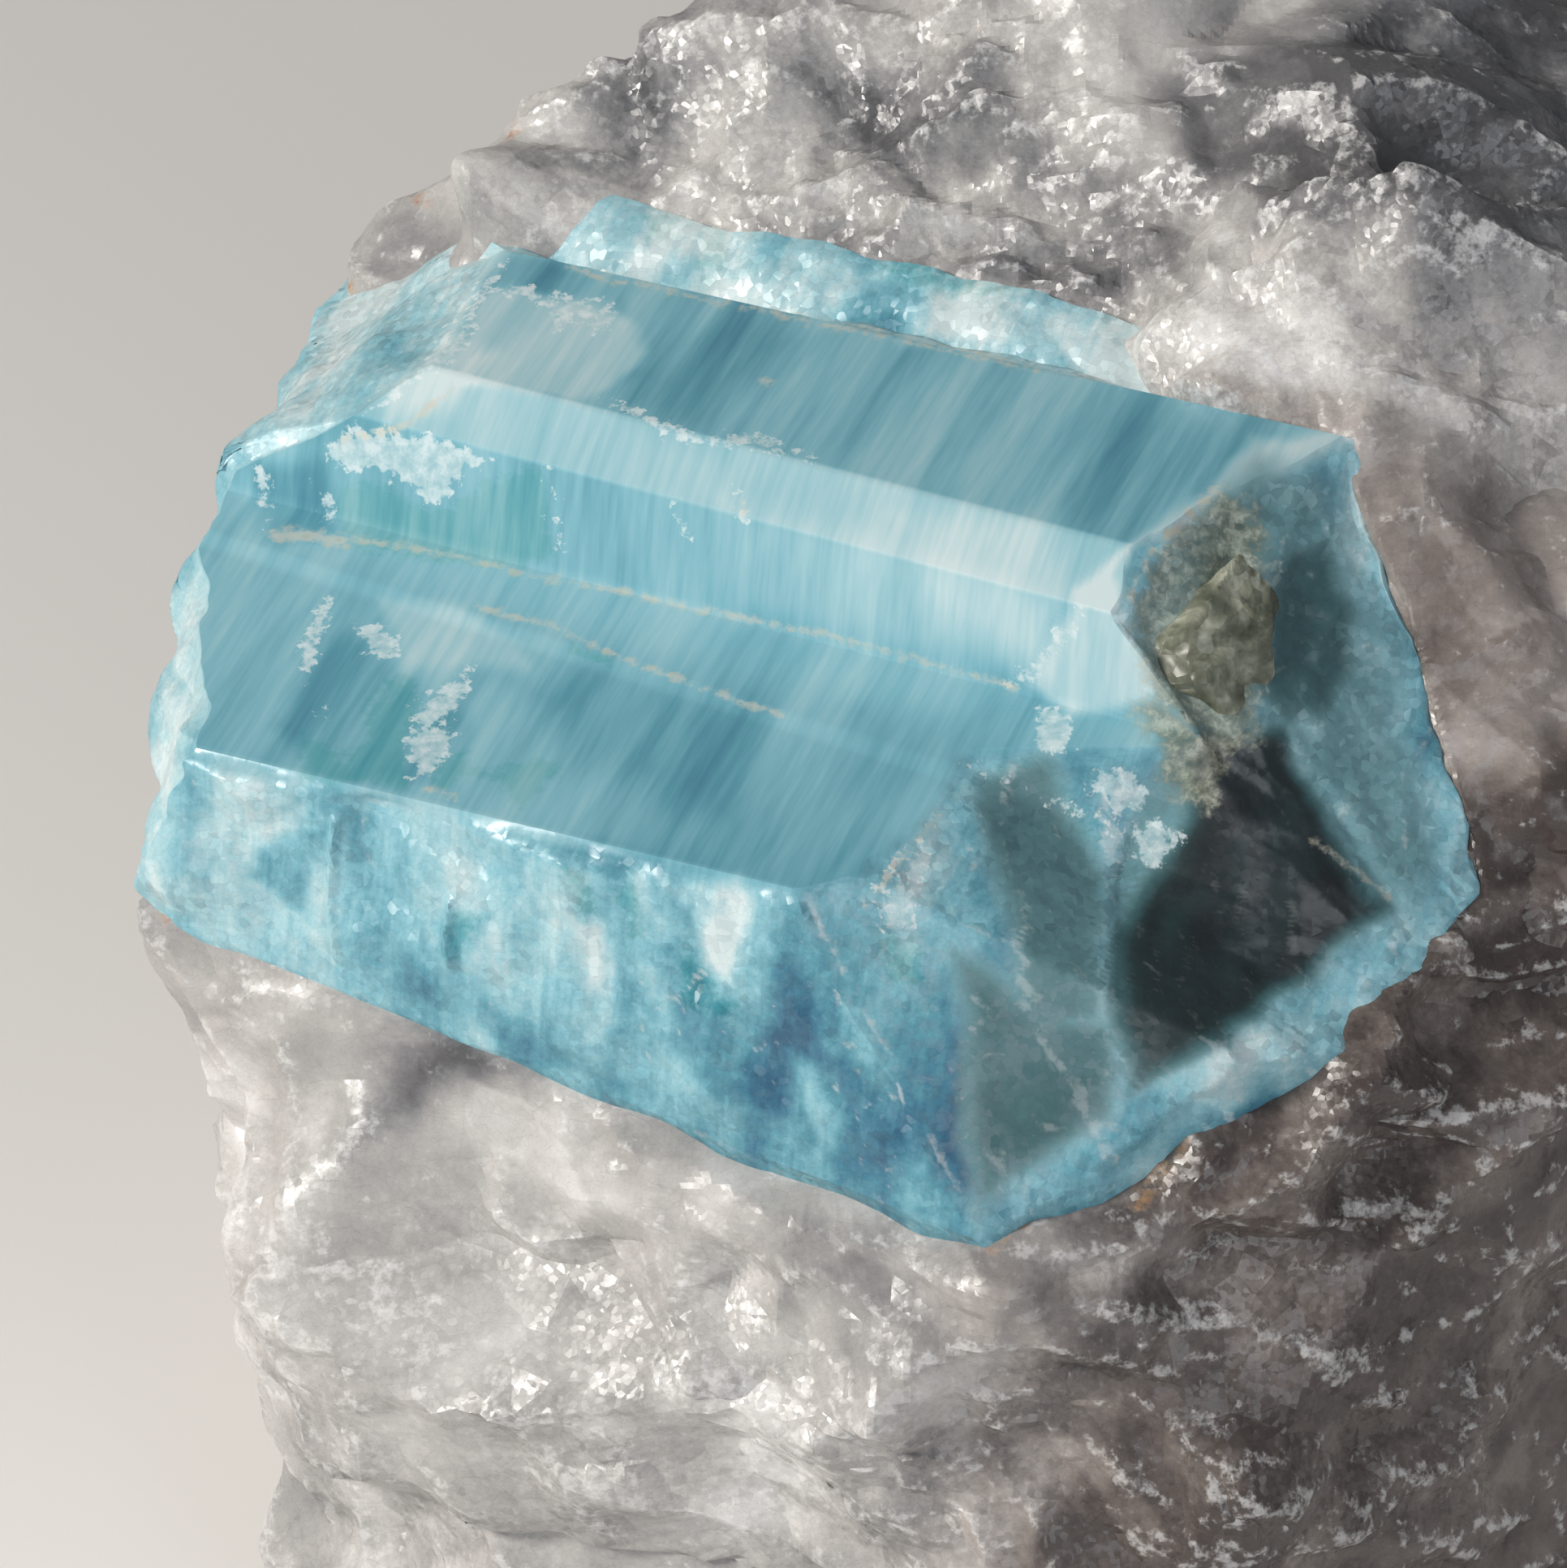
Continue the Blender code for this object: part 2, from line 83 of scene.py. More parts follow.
# Broken ends of the prism: a point on each break and its outward normal, in (u, v, w)
LEFT_BREAKS = (
    ((-0.3, 0.0, 0.0), (-0.555, 0.0, 0.832)),       # left slope
    ((-4.6, 5.0, -3.0), (-0.975, 0.11, 0.19)),      # left wall
    ((-3.9, 9.4, -3.8), (-0.836, 0.400, 0.371)),    # left front corner
    ((-2.9, 15.0, -7.0), (-0.93, 0.15, -0.33)),     # left front foot
)
RIGHT_BREAKS = (
    ((19.5, 0.0, 0.0), (0.637, 0.339, 0.694)),      # right slope
    ((19.7, 0.0, 0.0), (0.8, -0.1, 0.48)),          # right wall
    ((24.7, 5.2, -7.6), (0.97, 0.24, -0.1)),        # right foot
    ((17.9, 16.2, -11.0), (0.74, 0.66, 0.0)),       # right front foot
    ((13.6, 13.65, -3.8), (0.419, 0.728, 0.542)),   # right front corner
)
STEP_BREAK = ((16.1, 7.3, -3.8), (0.476, 0.17, 0.873))
STEP_WALL = ((15.0, 7.8, -3.3), (0.0, 0.97, 0.243))

# Grain of feldspar in the right break: centre in (u, v, w), outward normals and distances
GRAIN_CENTRE = (18.5, 5.1, -2.9)
GRAIN_FACES = (
    ((0.71, 0.38, 0.59), 0.75), ((0.9, -0.1, 0.2), 0.95), ((0.3, 0.9, 0.1), 1.25),
    ((0.1, -0.9, 0.3), 1.3), ((-0.2, 0.3, 0.9), 1.45), ((-0.6, -0.3, 0.6), 1.35),
    ((-0.9, 0.2, -0.2), 1.3), ((0.1, 0.5, -0.85), 1.6), ((0.3, -0.5, -0.8), 1.55),
    ((0.2, 0.75, 0.65), 1.3), ((-0.4, 0.8, -0.4), 1.4), ((-0.5, -0.7, -0.5), 1.5),
)

# The lump: its faces as a point and an outward normal. The hull closes it in all round, and inside
# the hull it is the union of the seat under the crystal, the mass behind it and the shoulder
HULL = (
    ((0.0, -17.0, 9.0), (-0.12, -0.99, 0.02)),       # foot of the front wall
    ((0.0, -16.5, 17.6), (0.25, -0.87, 0.42)),       # front wall, right part
    ((13.0, -11.5, 12.0), (0.62, -0.78, 0.06)),      # right front
    ((17.0, -5.0, 19.0), (0.84, -0.45, 0.30)),       # right, upper
    ((18.9, 2.0, 15.0), (0.99, 0.08, -0.08)),        # right
    ((17.4, 10.7, 20.0), (0.72, 0.68, 0.06)),        # right back
    ((14.5, 4.0, 29.6), (0.50, 0.0, 0.87)),          # right top
    ((0.0, 11.0, 33.2), (0.08, 0.20, 0.97)),         # top
    ((0.0, 14.6, 30.8), (0.02, 0.74, 0.66)),         # back top
    ((0.0, 16.2, 16.0), (-0.06, 0.99, -0.06)),       # back
    ((-11.5, 12.8, 18.0), (-0.72, 0.69, 0.0)),       # left back
    ((-10.0, 8.9, 30.6), (-0.50, 0.60, 0.62)),       # left back top
    ((-14.8, 6.5, 27.0), (-0.90, 0.25, 0.32)),       # left top
    ((-18.6, -5.8, 20.5), (-0.965, 0.22, 0.10)),     # left, upper
    ((-18.8, -6.2, 18.4), (-0.965, 0.05, -0.22)),    # left, undercut
    ((-17.5, -9.0, 16.0), (-0.86, -0.50, -0.08)),    # left front
    ((-14.3, -13.8, 9.5), (-0.62, -0.78, -0.06)),    # left front foot
    ((-4.0, -15.6, 2.6), (-0.10, -0.74, -0.66)),     # front, near the base
    ((15.6, -3.0, 2.8), (0.78, -0.05, -0.62)),       # right, near the base
    ((2.0, 13.8, 3.2), (0.05, 0.74, -0.66)),         # back, near the base
    ((-14.4, 3.0, 2.6), (-0.72, 0.10, -0.68)),       # left, near the base
    ((0.0, 0.0, 0.0), (0.0, 0.0, -1.0)),             # base
)
FRONT_WALL = ((9.0, 16.1, -9.6), (0.0, 0.93, 0.37))              # in (u, v, w)
SEAT_TOP = ((0.0, 0.0, -0.6), (0.15, 0.5, 1.0))                  # in (u, v, w)
SEAT_LEFT = ((-0.3, 0.0, -1.3), (-0.555, 0.0, 0.832))            # in (u, v, w)
SEAT_RIGHT = ((10.2, -8.2, 21.5), (0.585, -0.638, 0.5))
REAR_SLOPE = ((8.0, -2.2, 0.45), (0.0, 0.62, 0.785))             # in (u, v, w)
REAR_LEFT = ((-0.5, -1.5, 0.2), (-0.45, 0.5, 0.74))              # in (u, v, w)
REAR_SIDES = (
    ((9.0, 5.0, 31.5), (0.42, -0.32, 0.85)),         # right top
    ((7.5, -1.3, 28.4), (0.17, -0.66, 0.72)),        # right of the crystal
)
SHOULDER_SLOPE = ((17.0, -0.12, -0.12), (0.05, 0.62, 0.785))     # in (u, v, w)
SHOULDER_SIDES = (
    ((7.5, -1.3, 28.5), (0.17, -0.66, 0.72)),        # right of the crystal
    ((3.3, 1.4, 29.4), (-0.70, 0.15, 0.70)),         # cleft
    ((6.5, 3.6, 31.4), (0.05, 0.55, 0.83)),          # back
)

# Line along which the quartz meets the crystal, in (u, v, w)
CONTACT = (
    (-5.2, -2.3, -3.5), (-1.0, -2.3, 0.2), (18.0, -2.3, 0.45), (19.5, 0.0, 0.0),
    (21.8, 1.7, -3.0), (23.0, 3.2, -4.85), (24.5, 5.3, -7.2), (22.0, 12.1, -8.4),
    (18.1, 16.5, -11.0), (9.0, 16.1, -9.5), (0.0, 15.6, -8.4), (-3.0, 15.0, -7.8),
    (-4.2, 9.0, -5.0), (-4.6, 5.0, -3.5), (-5.2, -2.3, -3.5),
)
# The quartz's relief grows to its full depth this far from the contact, from the least share of it
# on the contact itself, and this far above the base
CONTACT_FADE = 4.0
CONTACT_LEAST = 0.12
BASE_FADE = 2.5

# The photograph: its frame in pixels, and where the camera stands for it
PHOTO_WIDE, PHOTO_HIGH = 1931, 1932
CAMERA_TARGET = np.array([-4.75, 0.5, 17.0])
CAMERA_UP_DEG = 40.0
CAMERA_FAR = 200.0
CAMERA_LENS = 200.0
CAMERA_SENSOR = 36.0


# Directions, planes and the photograph's frame

def prism_axes():
    """Unit vectors of u, v and w in the world."""
    plan, pitch = math.radians(PLAN_DEG), math.radians(PITCH_DEG)
    u = np.array([math.cos(plan) * math.cos(pitch), -math.sin(plan) * math.cos(pitch), math.sin(pitch)])
    v = np.array([-math.sin(plan), -math.cos(plan), 0.0])
    return np.array([u, v, np.cross(v, u)])


AXES = prism_axes()
TILT = math.radians(CAMERA_UP_DEG)
SIGHT = np.array([0.0, -math.cos(TILT), math.sin(TILT)])


def place(uvw):
    """World position of places on the prism: the corner plus each length along its axis."""
    return CORNER + np.asarray(uvw, float) @ AXES


def world_plane(face):
    """A face given in (u, v, w) as a point and a normal in the world."""
    point, normal = face
    return place(point), np.asarray(normal, float) @ AXES


def in_photo(points):
    """Pixel (x, y) at which the camera sees world positions: offsets across the view, divided by
    the distance along it."""
    away = np.asarray(points, float) - (CAMERA_TARGET + CAMERA_FAR * SIGHT)
    depth = -away @ SIGHT
    across = away[..., 0]
    up = away @ np.array([0.0, math.sin(TILT), math.cos(TILT)])
    scale = CAMERA_LENS / CAMERA_SENSOR * PHOTO_WIDE / depth
    return PHOTO_WIDE / 2 + across * scale, PHOTO_HIGH / 2 - up * scale


# Seeded patterns

def lattice_random(cell, seed, channel):
    """A number from 0 to 1 for each lattice cell, from a hash of its three indices."""
    x, y, z = (cell[..., k].astype(np.int64).astype(np.uint32) for k in range(3))
    with np.errstate(over="ignore"):
        h = x * np.uint32(73856093) ^ y * np.uint32(19349663) ^ z * np.uint32(83492791)
        h = h ^ np.uint32((seed * 2654435761 + channel * 40503) % 2**32)
        h = (h ^ (h >> np.uint32(15))) * np.uint32(2246822519)
        h = (h ^ (h >> np.uint32(13))) * np.uint32(3266489917)
        h = h ^ (h >> np.uint32(16))
    return h.astype(float) / 2**32


FAR = 1e9
SCOOP_HEIGHTS = 0.5
SCOOP_CURVE = 0.9
SCOOP_MEAN = 0.44


def scoops(points, size, seed):
    """Shell-like scoops that meet in sharp ridges, as a share of their size and 0 on average: over
    the 27 nearest cell centres, the lowest of height + tilt . away + away squared. With it comes a
    number from 0 to 1 for each scoop."""
    q = np.asarray(points, float) / size
    home = np.floor(q)
    lowest = np.full(len(q), FAR)
    shade = np.zeros(len(q))
    for dx in (-1, 0, 1):
        for dy in (-1, 0, 1):
            for dz in (-1, 0, 1):
                cell = home + (dx, dy, dz)
                centre = cell + np.stack([lattice_random(cell, seed, k) for k in range(3)], 1)
                tilt = np.stack([lattice_random(cell, seed, k) for k in (3, 4, 5)], 1) - 0.5
                height = lattice_random(cell, seed, 6) * SCOOP_HEIGHTS
                away = q - centre
                bowl = height + SCOOP_CURVE * ((away * tilt).sum(1) + (away**2).sum(1))
                wins = bowl < lowest
                shade = np.where(wins, tilt[:, 0] + 0.5, shade)
                lowest = np.where(wins, bowl, lowest)
    return SCOOP_MEAN - lowest, shade


# Turn of the shards' lattice against the world, and how far it is bent, as a share of its size
SHARD_TURN = AXES @ AXES[[1, 2, 0]]
SHARD_BEND = 0.3


def shards(points, size, seed):
    """Flat facets that meet in sharp edges, from -1 to 1: random heights at the corners of a turned
    lattice, each cell of which is cut into six tetrahedra with the height linear inside each."""
    bend = SHARD_BEND * size * clouds(points, 2.5 * size, seed + 7, 1)
    q = (np.asarray(points, float) + bend[:, None]) @ SHARD_TURN / size
    corner = np.floor(q)
    inner = q - corner
    order = np.argsort(-inner, axis=1)
    inner = np.take_along_axis(inner, order, 1)
    weights = -np.diff(np.column_stack([np.ones(len(q)), inner, np.zeros(len(q))]), axis=1)
    height = weights[:, 0] * lattice_random(corner, seed, 8)
    for k in range(3):
        corner = corner + np.eye(3)[order[:, k]]
        height += weights[:, k + 1] * lattice_random(corner, seed, 8)
    return 2 * height - 1


def crests(depth):
    """How far each place of a grid stands out from its neighbours, in millimetres: the mean depth
    of the nine places round it less its own."""
    total = sum(np.roll(depth, (a, b), (0, 1)) for a in (-1, 0, 1) for b in (-1, 0, 1))
    return total / 9 - depth


def clouds(points, size, seed, octaves=3):
    """Smooth noise from -1 to 1: random values at the lattice corners, blended with a cubic, summed
    over octaves that each halve the size and the height."""
    total, most = 0.0, 0.0
    for turn in range(octaves):
        q = np.asarray(points, float) / size * 2.0**turn
        home = np.floor(q)
        f = q - home
        f = f * f * (3 - 2 * f)
        value = 0.0
        for dx in (0, 1):
            for dy in (0, 1):
                for dz in (0, 1):
                    share = np.prod(np.where((dx, dy, dz), f, 1 - f), axis=1)
                    value = value + share * lattice_random(home + (dx, dy, dz), seed + turn, 7)
        total = total + (2 * value - 1) * 0.5**turn
        most += 0.5**turn
    return total / most


def rise(x, low, high):
    """0 below low, 1 above high, a smooth cubic between."""
    t = np.clip((x - low) / (high - low), 0.0, 1.0)
    return t * t * (3 - 2 * t)


def to_line(points, line):
    """Distance of each point from a line of straight stretches, in as many dimensions as it has."""
    best = np.full(len(points), FAR)
    line = np.asarray(line, float)
    for a, b in zip(line, line[1:]):
        along = np.clip((points - a) @ (b - a) / ((b - a) @ (b - a)), 0.0, 1.0)
        best = np.minimum(best, np.linalg.norm(points - a - along[:, None] * (b - a), axis=1))
    return best


# Marks drawn in the photograph's frame

MARK_REACH = 24.0


def beside(px, py, corners):
    """Distance in pixels to a line of straight stretches."""
    return to_line(np.column_stack([px, py]), corners)


def inside(px, py, corners):
    """Distance in pixels to an outline, above 0 inside it: the least distance to its edges, with
    the sign from counting the edges crossed to the right."""
    odd = np.zeros(px.shape, bool)
    for (ax, ay), (bx, by) in zip(corners, corners[1:] + corners[:1]):
        if by != ay:
            odd ^= ((ay > py) != (by > py)) & (px < (bx - ax) * (py - ay) / (by - ay) + ax)
    best = beside(px, py, corners + corners[:1])
    return np.where(odd, best, -best)


def wandering(px, py, points, reach_px, size):
    """Pixel places moved about by noise of a size in millimetres, so that outlines turn ragged."""
    return px + reach_px * clouds(points, size, 57), py + reach_px * clouds(points, size, 58)


def mark(px, py, roaming, areas=(), lines=(), spread=MARK_REACH):
    """Field of a mark: 0 on its edge, 1 a spread or more inside it and -1 as far outside. Areas are
    outlines, looked up at the roaming places. Lines are half a width and the places that they run
    through."""
    field = np.full(px.shape, -1.0)
    for corners in areas:
        field = np.maximum(field, inside(*roaming, corners) / spread)
    for half, corners in lines:
        field = np.maximum(field, (half - beside(px, py, corners)) / spread)
    return np.minimum(field, 1.0)


# Meshes from grids

def mesh_step(grid):
    """The larger distance in millimetres from each grid point to the next, along both directions."""
    steps = [np.linalg.norm(np.gradient(grid, axis=k), axis=2) for k in (0, 1)]
    return np.maximum(*steps).ravel()


def ring_normals(grid):
    """Unit normals of a grid of rings from the cross product of its two central differences."""
    d_s = np.roll(grid, -1, 1) - np.roll(grid, 1, 1)
    d_t = np.gradient(grid, axis=0)
    out = np.cross(d_s, d_t)
    length = np.linalg.norm(out, axis=2, keepdims=True)
    return out / np.maximum(length, 1e-12)


# Edges that turn more than this stay sharp
SHARP_DEG = 34.0
SHARP_QUARTZ_DEG = 15.0


def make_piece(name, points, faces, marks, node, sharp_deg=SHARP_DEG):
    """A mesh object from arrays, its faces as arrays of corners, with one attribute for each mark,
    riding on the body."""
    mesh = bpy.data.meshes.new(name)
    mesh.vertices.add(len(points))
    mesh.vertices.foreach_set("co", (np.asarray(points) * MM).astype(np.float32).ravel())
    sizes = np.concatenate([np.full(len(f), f.shape[1]) for f in faces])
    flat = np.concatenate([f.ravel() for f in faces])
    mesh.loops.add(len(flat))
    mesh.loops.foreach_set("vertex_index", flat.astype(np.int32))
    mesh.polygons.add(len(sizes))
    mesh.polygons.foreach_set("loop_start", (np.cumsum(sizes) - sizes).astype(np.int32))
    mesh.polygons.foreach_set("use_smooth", np.full(len(sizes), True))
    mesh.update(calc_edges=True)
    mesh.validate()
    mesh.set_sharp_from_angle(angle=math.radians(sharp_deg))
    for mark, values in marks.items():
        kind = "FLOAT_VECTOR" if values.ndim == 2 else "FLOAT"
        layer = mesh.attributes.new(mark, kind, "POINT")
        layer.data.foreach_set("vector" if values.ndim == 2 else "value", values.astype(np.float32).ravel())
    piece = bpy.data.objects.new(name, mesh)
    bpy.context.scene.collection.objects.link(piece)
    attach(piece, "root")
    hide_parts(node)
    return piece


def carried(size, step):
    """Share of a relief of some size that a mesh with some step can carry: nothing under one and a
    half steps, all of it over three and a half."""
    return rise(size / step, 1.5, 3.5)


def tube_faces(rings, around):
    """Quads between successive rings of a closed tube, facing outwards."""
    ring = np.arange(around)
    start = np.arange(rings - 1)[:, None] * around
    a, b = start + ring, start + np.roll(ring, -1)
    return np.stack([a, b, b + around, a + around], 2).reshape(-1, 4)


# The crystal

def section_outline(u, corners):
    """(v, w) of the section's outline at each u: corners blended from u = 0 to u = SECTION_SPAN."""
    left, right = corners
    share = (u / SECTION_SPAN)[..., None]
    return left + (right - left) * share


def resampled_section():
    """The section's corners with mesh steps between them, at both ends, and the corner number."""
    left = np.array([a for a, _, _ in SECTION], float)
    right = np.array([b for _, b, _ in SECTION], float)
    steps = [n for _, _, n in SECTION]
    number = np.concatenate([k + np.arange(n) / n for k, n in enumerate(steps)])
    k, f = np.floor(number).astype(int), (number % 1)[:, None]
    nxt = (k + 1) % len(SECTION)
    return (left[k] * (1 - f) + left[nxt] * f, right[k] * (1 - f) + right[nxt] * f), number


def end_of(breaks, vw, pick):
    """u of the broken end over (v, w): on each plane u solves normal . (x - point) = 0, and the
    innermost plane wins."""
    found = []
    for point, normal in breaks:
        p, n = np.asarray(point), np.asarray(normal)
        found.append((n @ p - vw @ n[1:]) / n[0])
    return pick(found, axis=0)


def chips(vw):
    """Millimetres by which an end is chipped at each (v, w): flat facets 1.5 mm wide."""
    flat = np.column_stack([np.zeros(len(vw)), vw])
    return END_CHIPS * shards(flat, 1.5, 47) + END_CHIPS * 0.5 * shards(flat, 0.6, 49)


def left_end(vw):
    """The left end: its breaks, chipped."""
    return end_of(LEFT_BREAKS, vw, np.max) + chips(vw)


def right_end(vw):
    """The right end, with the lower step broken off further back beyond its wall."""
    full = end_of(RIGHT_BREAKS, vw, np.min)
    step = end_of((STEP_BREAK,), vw, np.min)
    wall_point, wall_normal = np.asarray(STEP_WALL[0]), np.asarray(STEP_WALL[1])
    beyond = rise((vw - wall_point[1:]) @ wall_normal[1:], -0.5, 1.7)
    return full + (np.minimum(full, step) - full) * beyond - chips(vw)


def end_outline(corners, end):
    """Where each line of the outline meets an end, found by four rounds of substitution."""
    u = np.zeros(len(corners[0]))
    for _ in range(4):
        vw = section_outline(u, corners)
        u = end(vw)
    return u, vw


def crystal_grid():
    """Rings from the left pole over the left cap, the sides and the right cap to the right pole.

    A cap ring is the outline at the end, shrunk towards the section's centre, with u from the end's
    planes. A side ring is the outline at u between the two ends.
    """
    corners, number = resampled_section()
    centre = np.array(SECTION_CENTRE)
    rings = []
    u_left, vw_left = end_outline(corners, left_end)
    u_right, vw_right = end_outline(corners, right_end)
    for k in np.arange(CAP_STEPS) / CAP_STEPS:
        vw = centre + (vw_left - centre) * max(k, POLE_SHARE)
        rings.append(np.column_stack([left_end(vw), vw]))
    for t in np.linspace(0, 1, SIDE_STEPS):
        u = u_left + (u_right - u_left) * t
        rings.append(np.column_stack([u, section_outline(u, corners)]))
    for k in np.arange(RIGHT_CAP_STEPS - 1, -1, -1) / RIGHT_CAP_STEPS:
        vw = centre + (vw_right - centre) * max(k, POLE_SHARE)
        rings.append(np.column_stack([right_end(vw), vw]))
    grid = np.array(rings)
    cap = np.zeros(len(rings))
    cap[:CAP_STEPS] = CAP_STEPS - np.arange(CAP_STEPS)
    cap[-RIGHT_CAP_STEPS:] = np.arange(RIGHT_CAP_STEPS) + 1
    return grid, number, cap


# Corners of the section by number, where smooth and broken faces meet
STEP_RIDGE, FRONT_EDGE = 11, 14

# Depth of colour at the middle of each face, from the palest at 0 to the deepest at 1
FACE_TONES = ((0, 0.4), (2, 0.24), (4.9, 0.2), (5.0, 0.42), (5.98, 0.38), (6.0, 0.22), (7.0, 0.24),
              (7.02, 0.42), (7.9, 0.42), (8.0, 0.34), (9, 0.38), (10, 0.38), (10.03, 0.4), (10.98, 0.4),
              (11.0, 0.32), (13, 0.4), (14, 0.48), (18, 0.48))
LEFT_END_TONE, RIGHT_END_TONE = 0.22, 0.42
# Depth of the chips along the edges of both ends
END_CHIPS = 0.22
# Relief of the fractures: scoops as size, depth and seed, then facets, twice as long down the face
CRYSTAL_RELIEF = ((3.4, 0.45, 31), (1.7, 0.25, 37))
CRYSTAL_SHARDS = ((1.3, 0.28, 41), (0.6, 0.13, 43))
CRYSTAL_CREST = 0.03


def face_tone(face):
    """Depth of colour by the section's corner number, in straight stretches between the faces."""
    at, tone = zip(*FACE_TONES)
    return np.interp(face, at, tone)


# Marks on the crystal, in the photograph's pixels: areas, then lines as half a width and a route
CRYSTAL_MARKS = {
    "white": (
        (
            # crumbs over the upper riser's left end
            ((395, 566), (405, 548), (417, 538), (450, 520), (518, 535), (585, 543), (612, 556),
             (585, 566), (556, 607), (537, 612), (508, 597), (475, 580), (440, 572)),
            # chipped band below the ridge
            ((610, 372), (640, 360), (676, 368), (712, 372), (718, 380), (742, 386), (757, 392),
             (750, 405), (728, 407), (700, 398), (672, 380), (640, 378)),
            # lumps along the edge of the top tread
            ((742, 497), (765, 500), (792, 505), (822, 514), (850, 520), (876, 535), (905, 530),
             (940, 530), (968, 545), (1010, 566), (1010, 576), (968, 564), (935, 552), (876, 550),
             (822, 530), (760, 512)),
            # slope at the left end
            ((619, 334), (614, 360), (588, 400), (575, 440), (540, 468), (505, 484), (476, 500),
             (431, 526), (494, 472), (546, 430), (577, 386)),
            # left tip and sliver beside it
            ((307, 569), (322, 575), (330, 600), (330, 640), (318, 620), (306, 590)),
            ((389, 588), (400, 584), (413, 604), (412, 634), (402, 630)),
            # chips on the lower tread
            ((408, 741), (400, 760), (385, 800), (368, 827), (362, 800), (378, 765), (395, 742)),
            ((437, 775), (460, 768), (489, 795), (494, 827), (470, 824), (445, 812)),
            ((585, 837), (575, 860), (540, 880), (505, 896), (494, 880), (520, 856), (550, 842)),
            ((480, 900), (500, 886), (547, 890), (540, 925), (528, 958), (508, 972), (499, 945),
             (484, 925)),
            ((385, 870), (398, 868), (400, 880), (388, 884)),
            # boundary of the lower tread's right end
            ((1340, 735), (1330, 775), (1300, 812), (1262, 845), (1230, 856), (1240, 838), (1288, 800),
             (1320, 752)),
            ((1273, 880), (1300, 872), (1333, 890), (1322, 931), (1296, 940), (1276, 915)),
            ((1350, 931), (1400, 945), (1428, 975), (1420, 1003), (1378, 1000), (1352, 965)),
            ((1410, 1008), (1440, 1008), (1463, 1030), (1448, 1080), (1424, 1060)),
            # front corner's pale face and its bottom edge
            ((1160, 1010), (1155, 1040), (1150, 1090), (1128, 1140), (1084, 1145), (1092, 1110),
             (1120, 1050)),
        ),
        (
            (7, ((690, 400), (735, 402), (757, 396))),
            (4, ((1187, 942), (1260, 968), (1390, 1022))),
            (3, ((675, 570), (683, 631), (692, 680))),
            # painted glint: a white highlight on the upper riser
            (4, ((831, 612), (836, 640), (843, 662))),
            (7, ((914, 612), (917, 640))),
            (5, ((1155, 1000), (1105, 1060), (1075, 1110))),
        ),
    ),
    "cream": (
        (
            ((330, 640), (360, 636), (400, 640), (432, 650), (430, 664), (395, 660), (345, 652)),
        ),
        (
            (3, ((432, 664), (560, 684), (661, 712), (728, 722))),
            (4, ((728, 722), (867, 752), (1000, 778), (1130, 812), (1260, 850))),
            (3, ((585, 746), (685, 774), (762, 808), (843, 838), (920, 868), (965, 882))),
            (3, ((696, 329), (742, 342), (830, 360), (908, 377), (1000, 397), (1101, 417), (1180, 436),
                 (1277, 454))),
            (4, ((420, 542), (490, 530), (560, 480))),
            (4, ((525, 972), (560, 984))),
            (4, ((1158, 1006), (1110, 1058), (1070, 1115))),
            (6, ((1500, 600), (1420, 680), (1390, 740))),
            (4, ((1624, 1038), (1713, 1104))),
            (5, ((942, 470), (948, 476))),
            (5, ((914, 615), (918, 632))),
        ),
    ),
    "olive": (
        (
            ((1400, 740), (1440, 640), (1500, 590), (1560, 640), (1570, 760), (1560, 920), (1500, 930),
             (1420, 860)),
            ((1390, 860), (1440, 850), (1530, 940), (1500, 1010), (1440, 980)),
        ),
        (),
    ),
    "teal": (
        (
            # upper riser, left end
            ((424, 584), (475, 588), (510, 605), (537, 618), (560, 612), (600, 580), (672, 572),
             (690, 690), (640, 705), (560, 690), (430, 662), (413, 620)),
            # crumbling front of the lower tread
            ((374, 950), (384, 905), (430, 925), (440, 870), (489, 840), (520, 850), (500, 890),
             (480, 905), (508, 978), (455, 966)),
            ((523, 940), (566, 915), (575, 950), (540, 968)),
            ((575, 942), (657, 930), (680, 955), (642, 996), (628, 985), (609, 961), (580, 947)),
            # front: diamond and blotches
            ((563, 1115), (597, 1124), (586, 1145), (573, 1177), (559, 1172), (554, 1149)),
            ((704, 1046), (737, 1060), (735, 1130), (712, 1125)),
            ((770, 1085), (795, 1070), (800, 1140), (780, 1170)),
            ((848, 1155), (900, 1215), (930, 1238), (905, 1250), (850, 1225)),
            ((1073, 1139), (1139, 1150), (1135, 1227), (1085, 1215)),
            ((1172, 1290), (1281, 1310), (1275, 1419), (1190, 1440), (1180, 1380)),
            ((1200, 960), (1290, 940), (1360, 1010), (1369, 1254), (1325, 1200), (1290, 1080),
             (1225, 1040)),
            # rough strip
            ((795, 254), (833, 262), (830, 307), (800, 300)),
            ((862, 275), (905, 285), (895, 330), (868, 371), (858, 330)),
            ((1074, 322), (1120, 318), (1200, 335), (1256, 355), (1240, 375), (1160, 352), (1090, 345)),
            ((709, 789), (762, 806), (760, 816), (715, 803)),
        ),
        (),
    ),
}
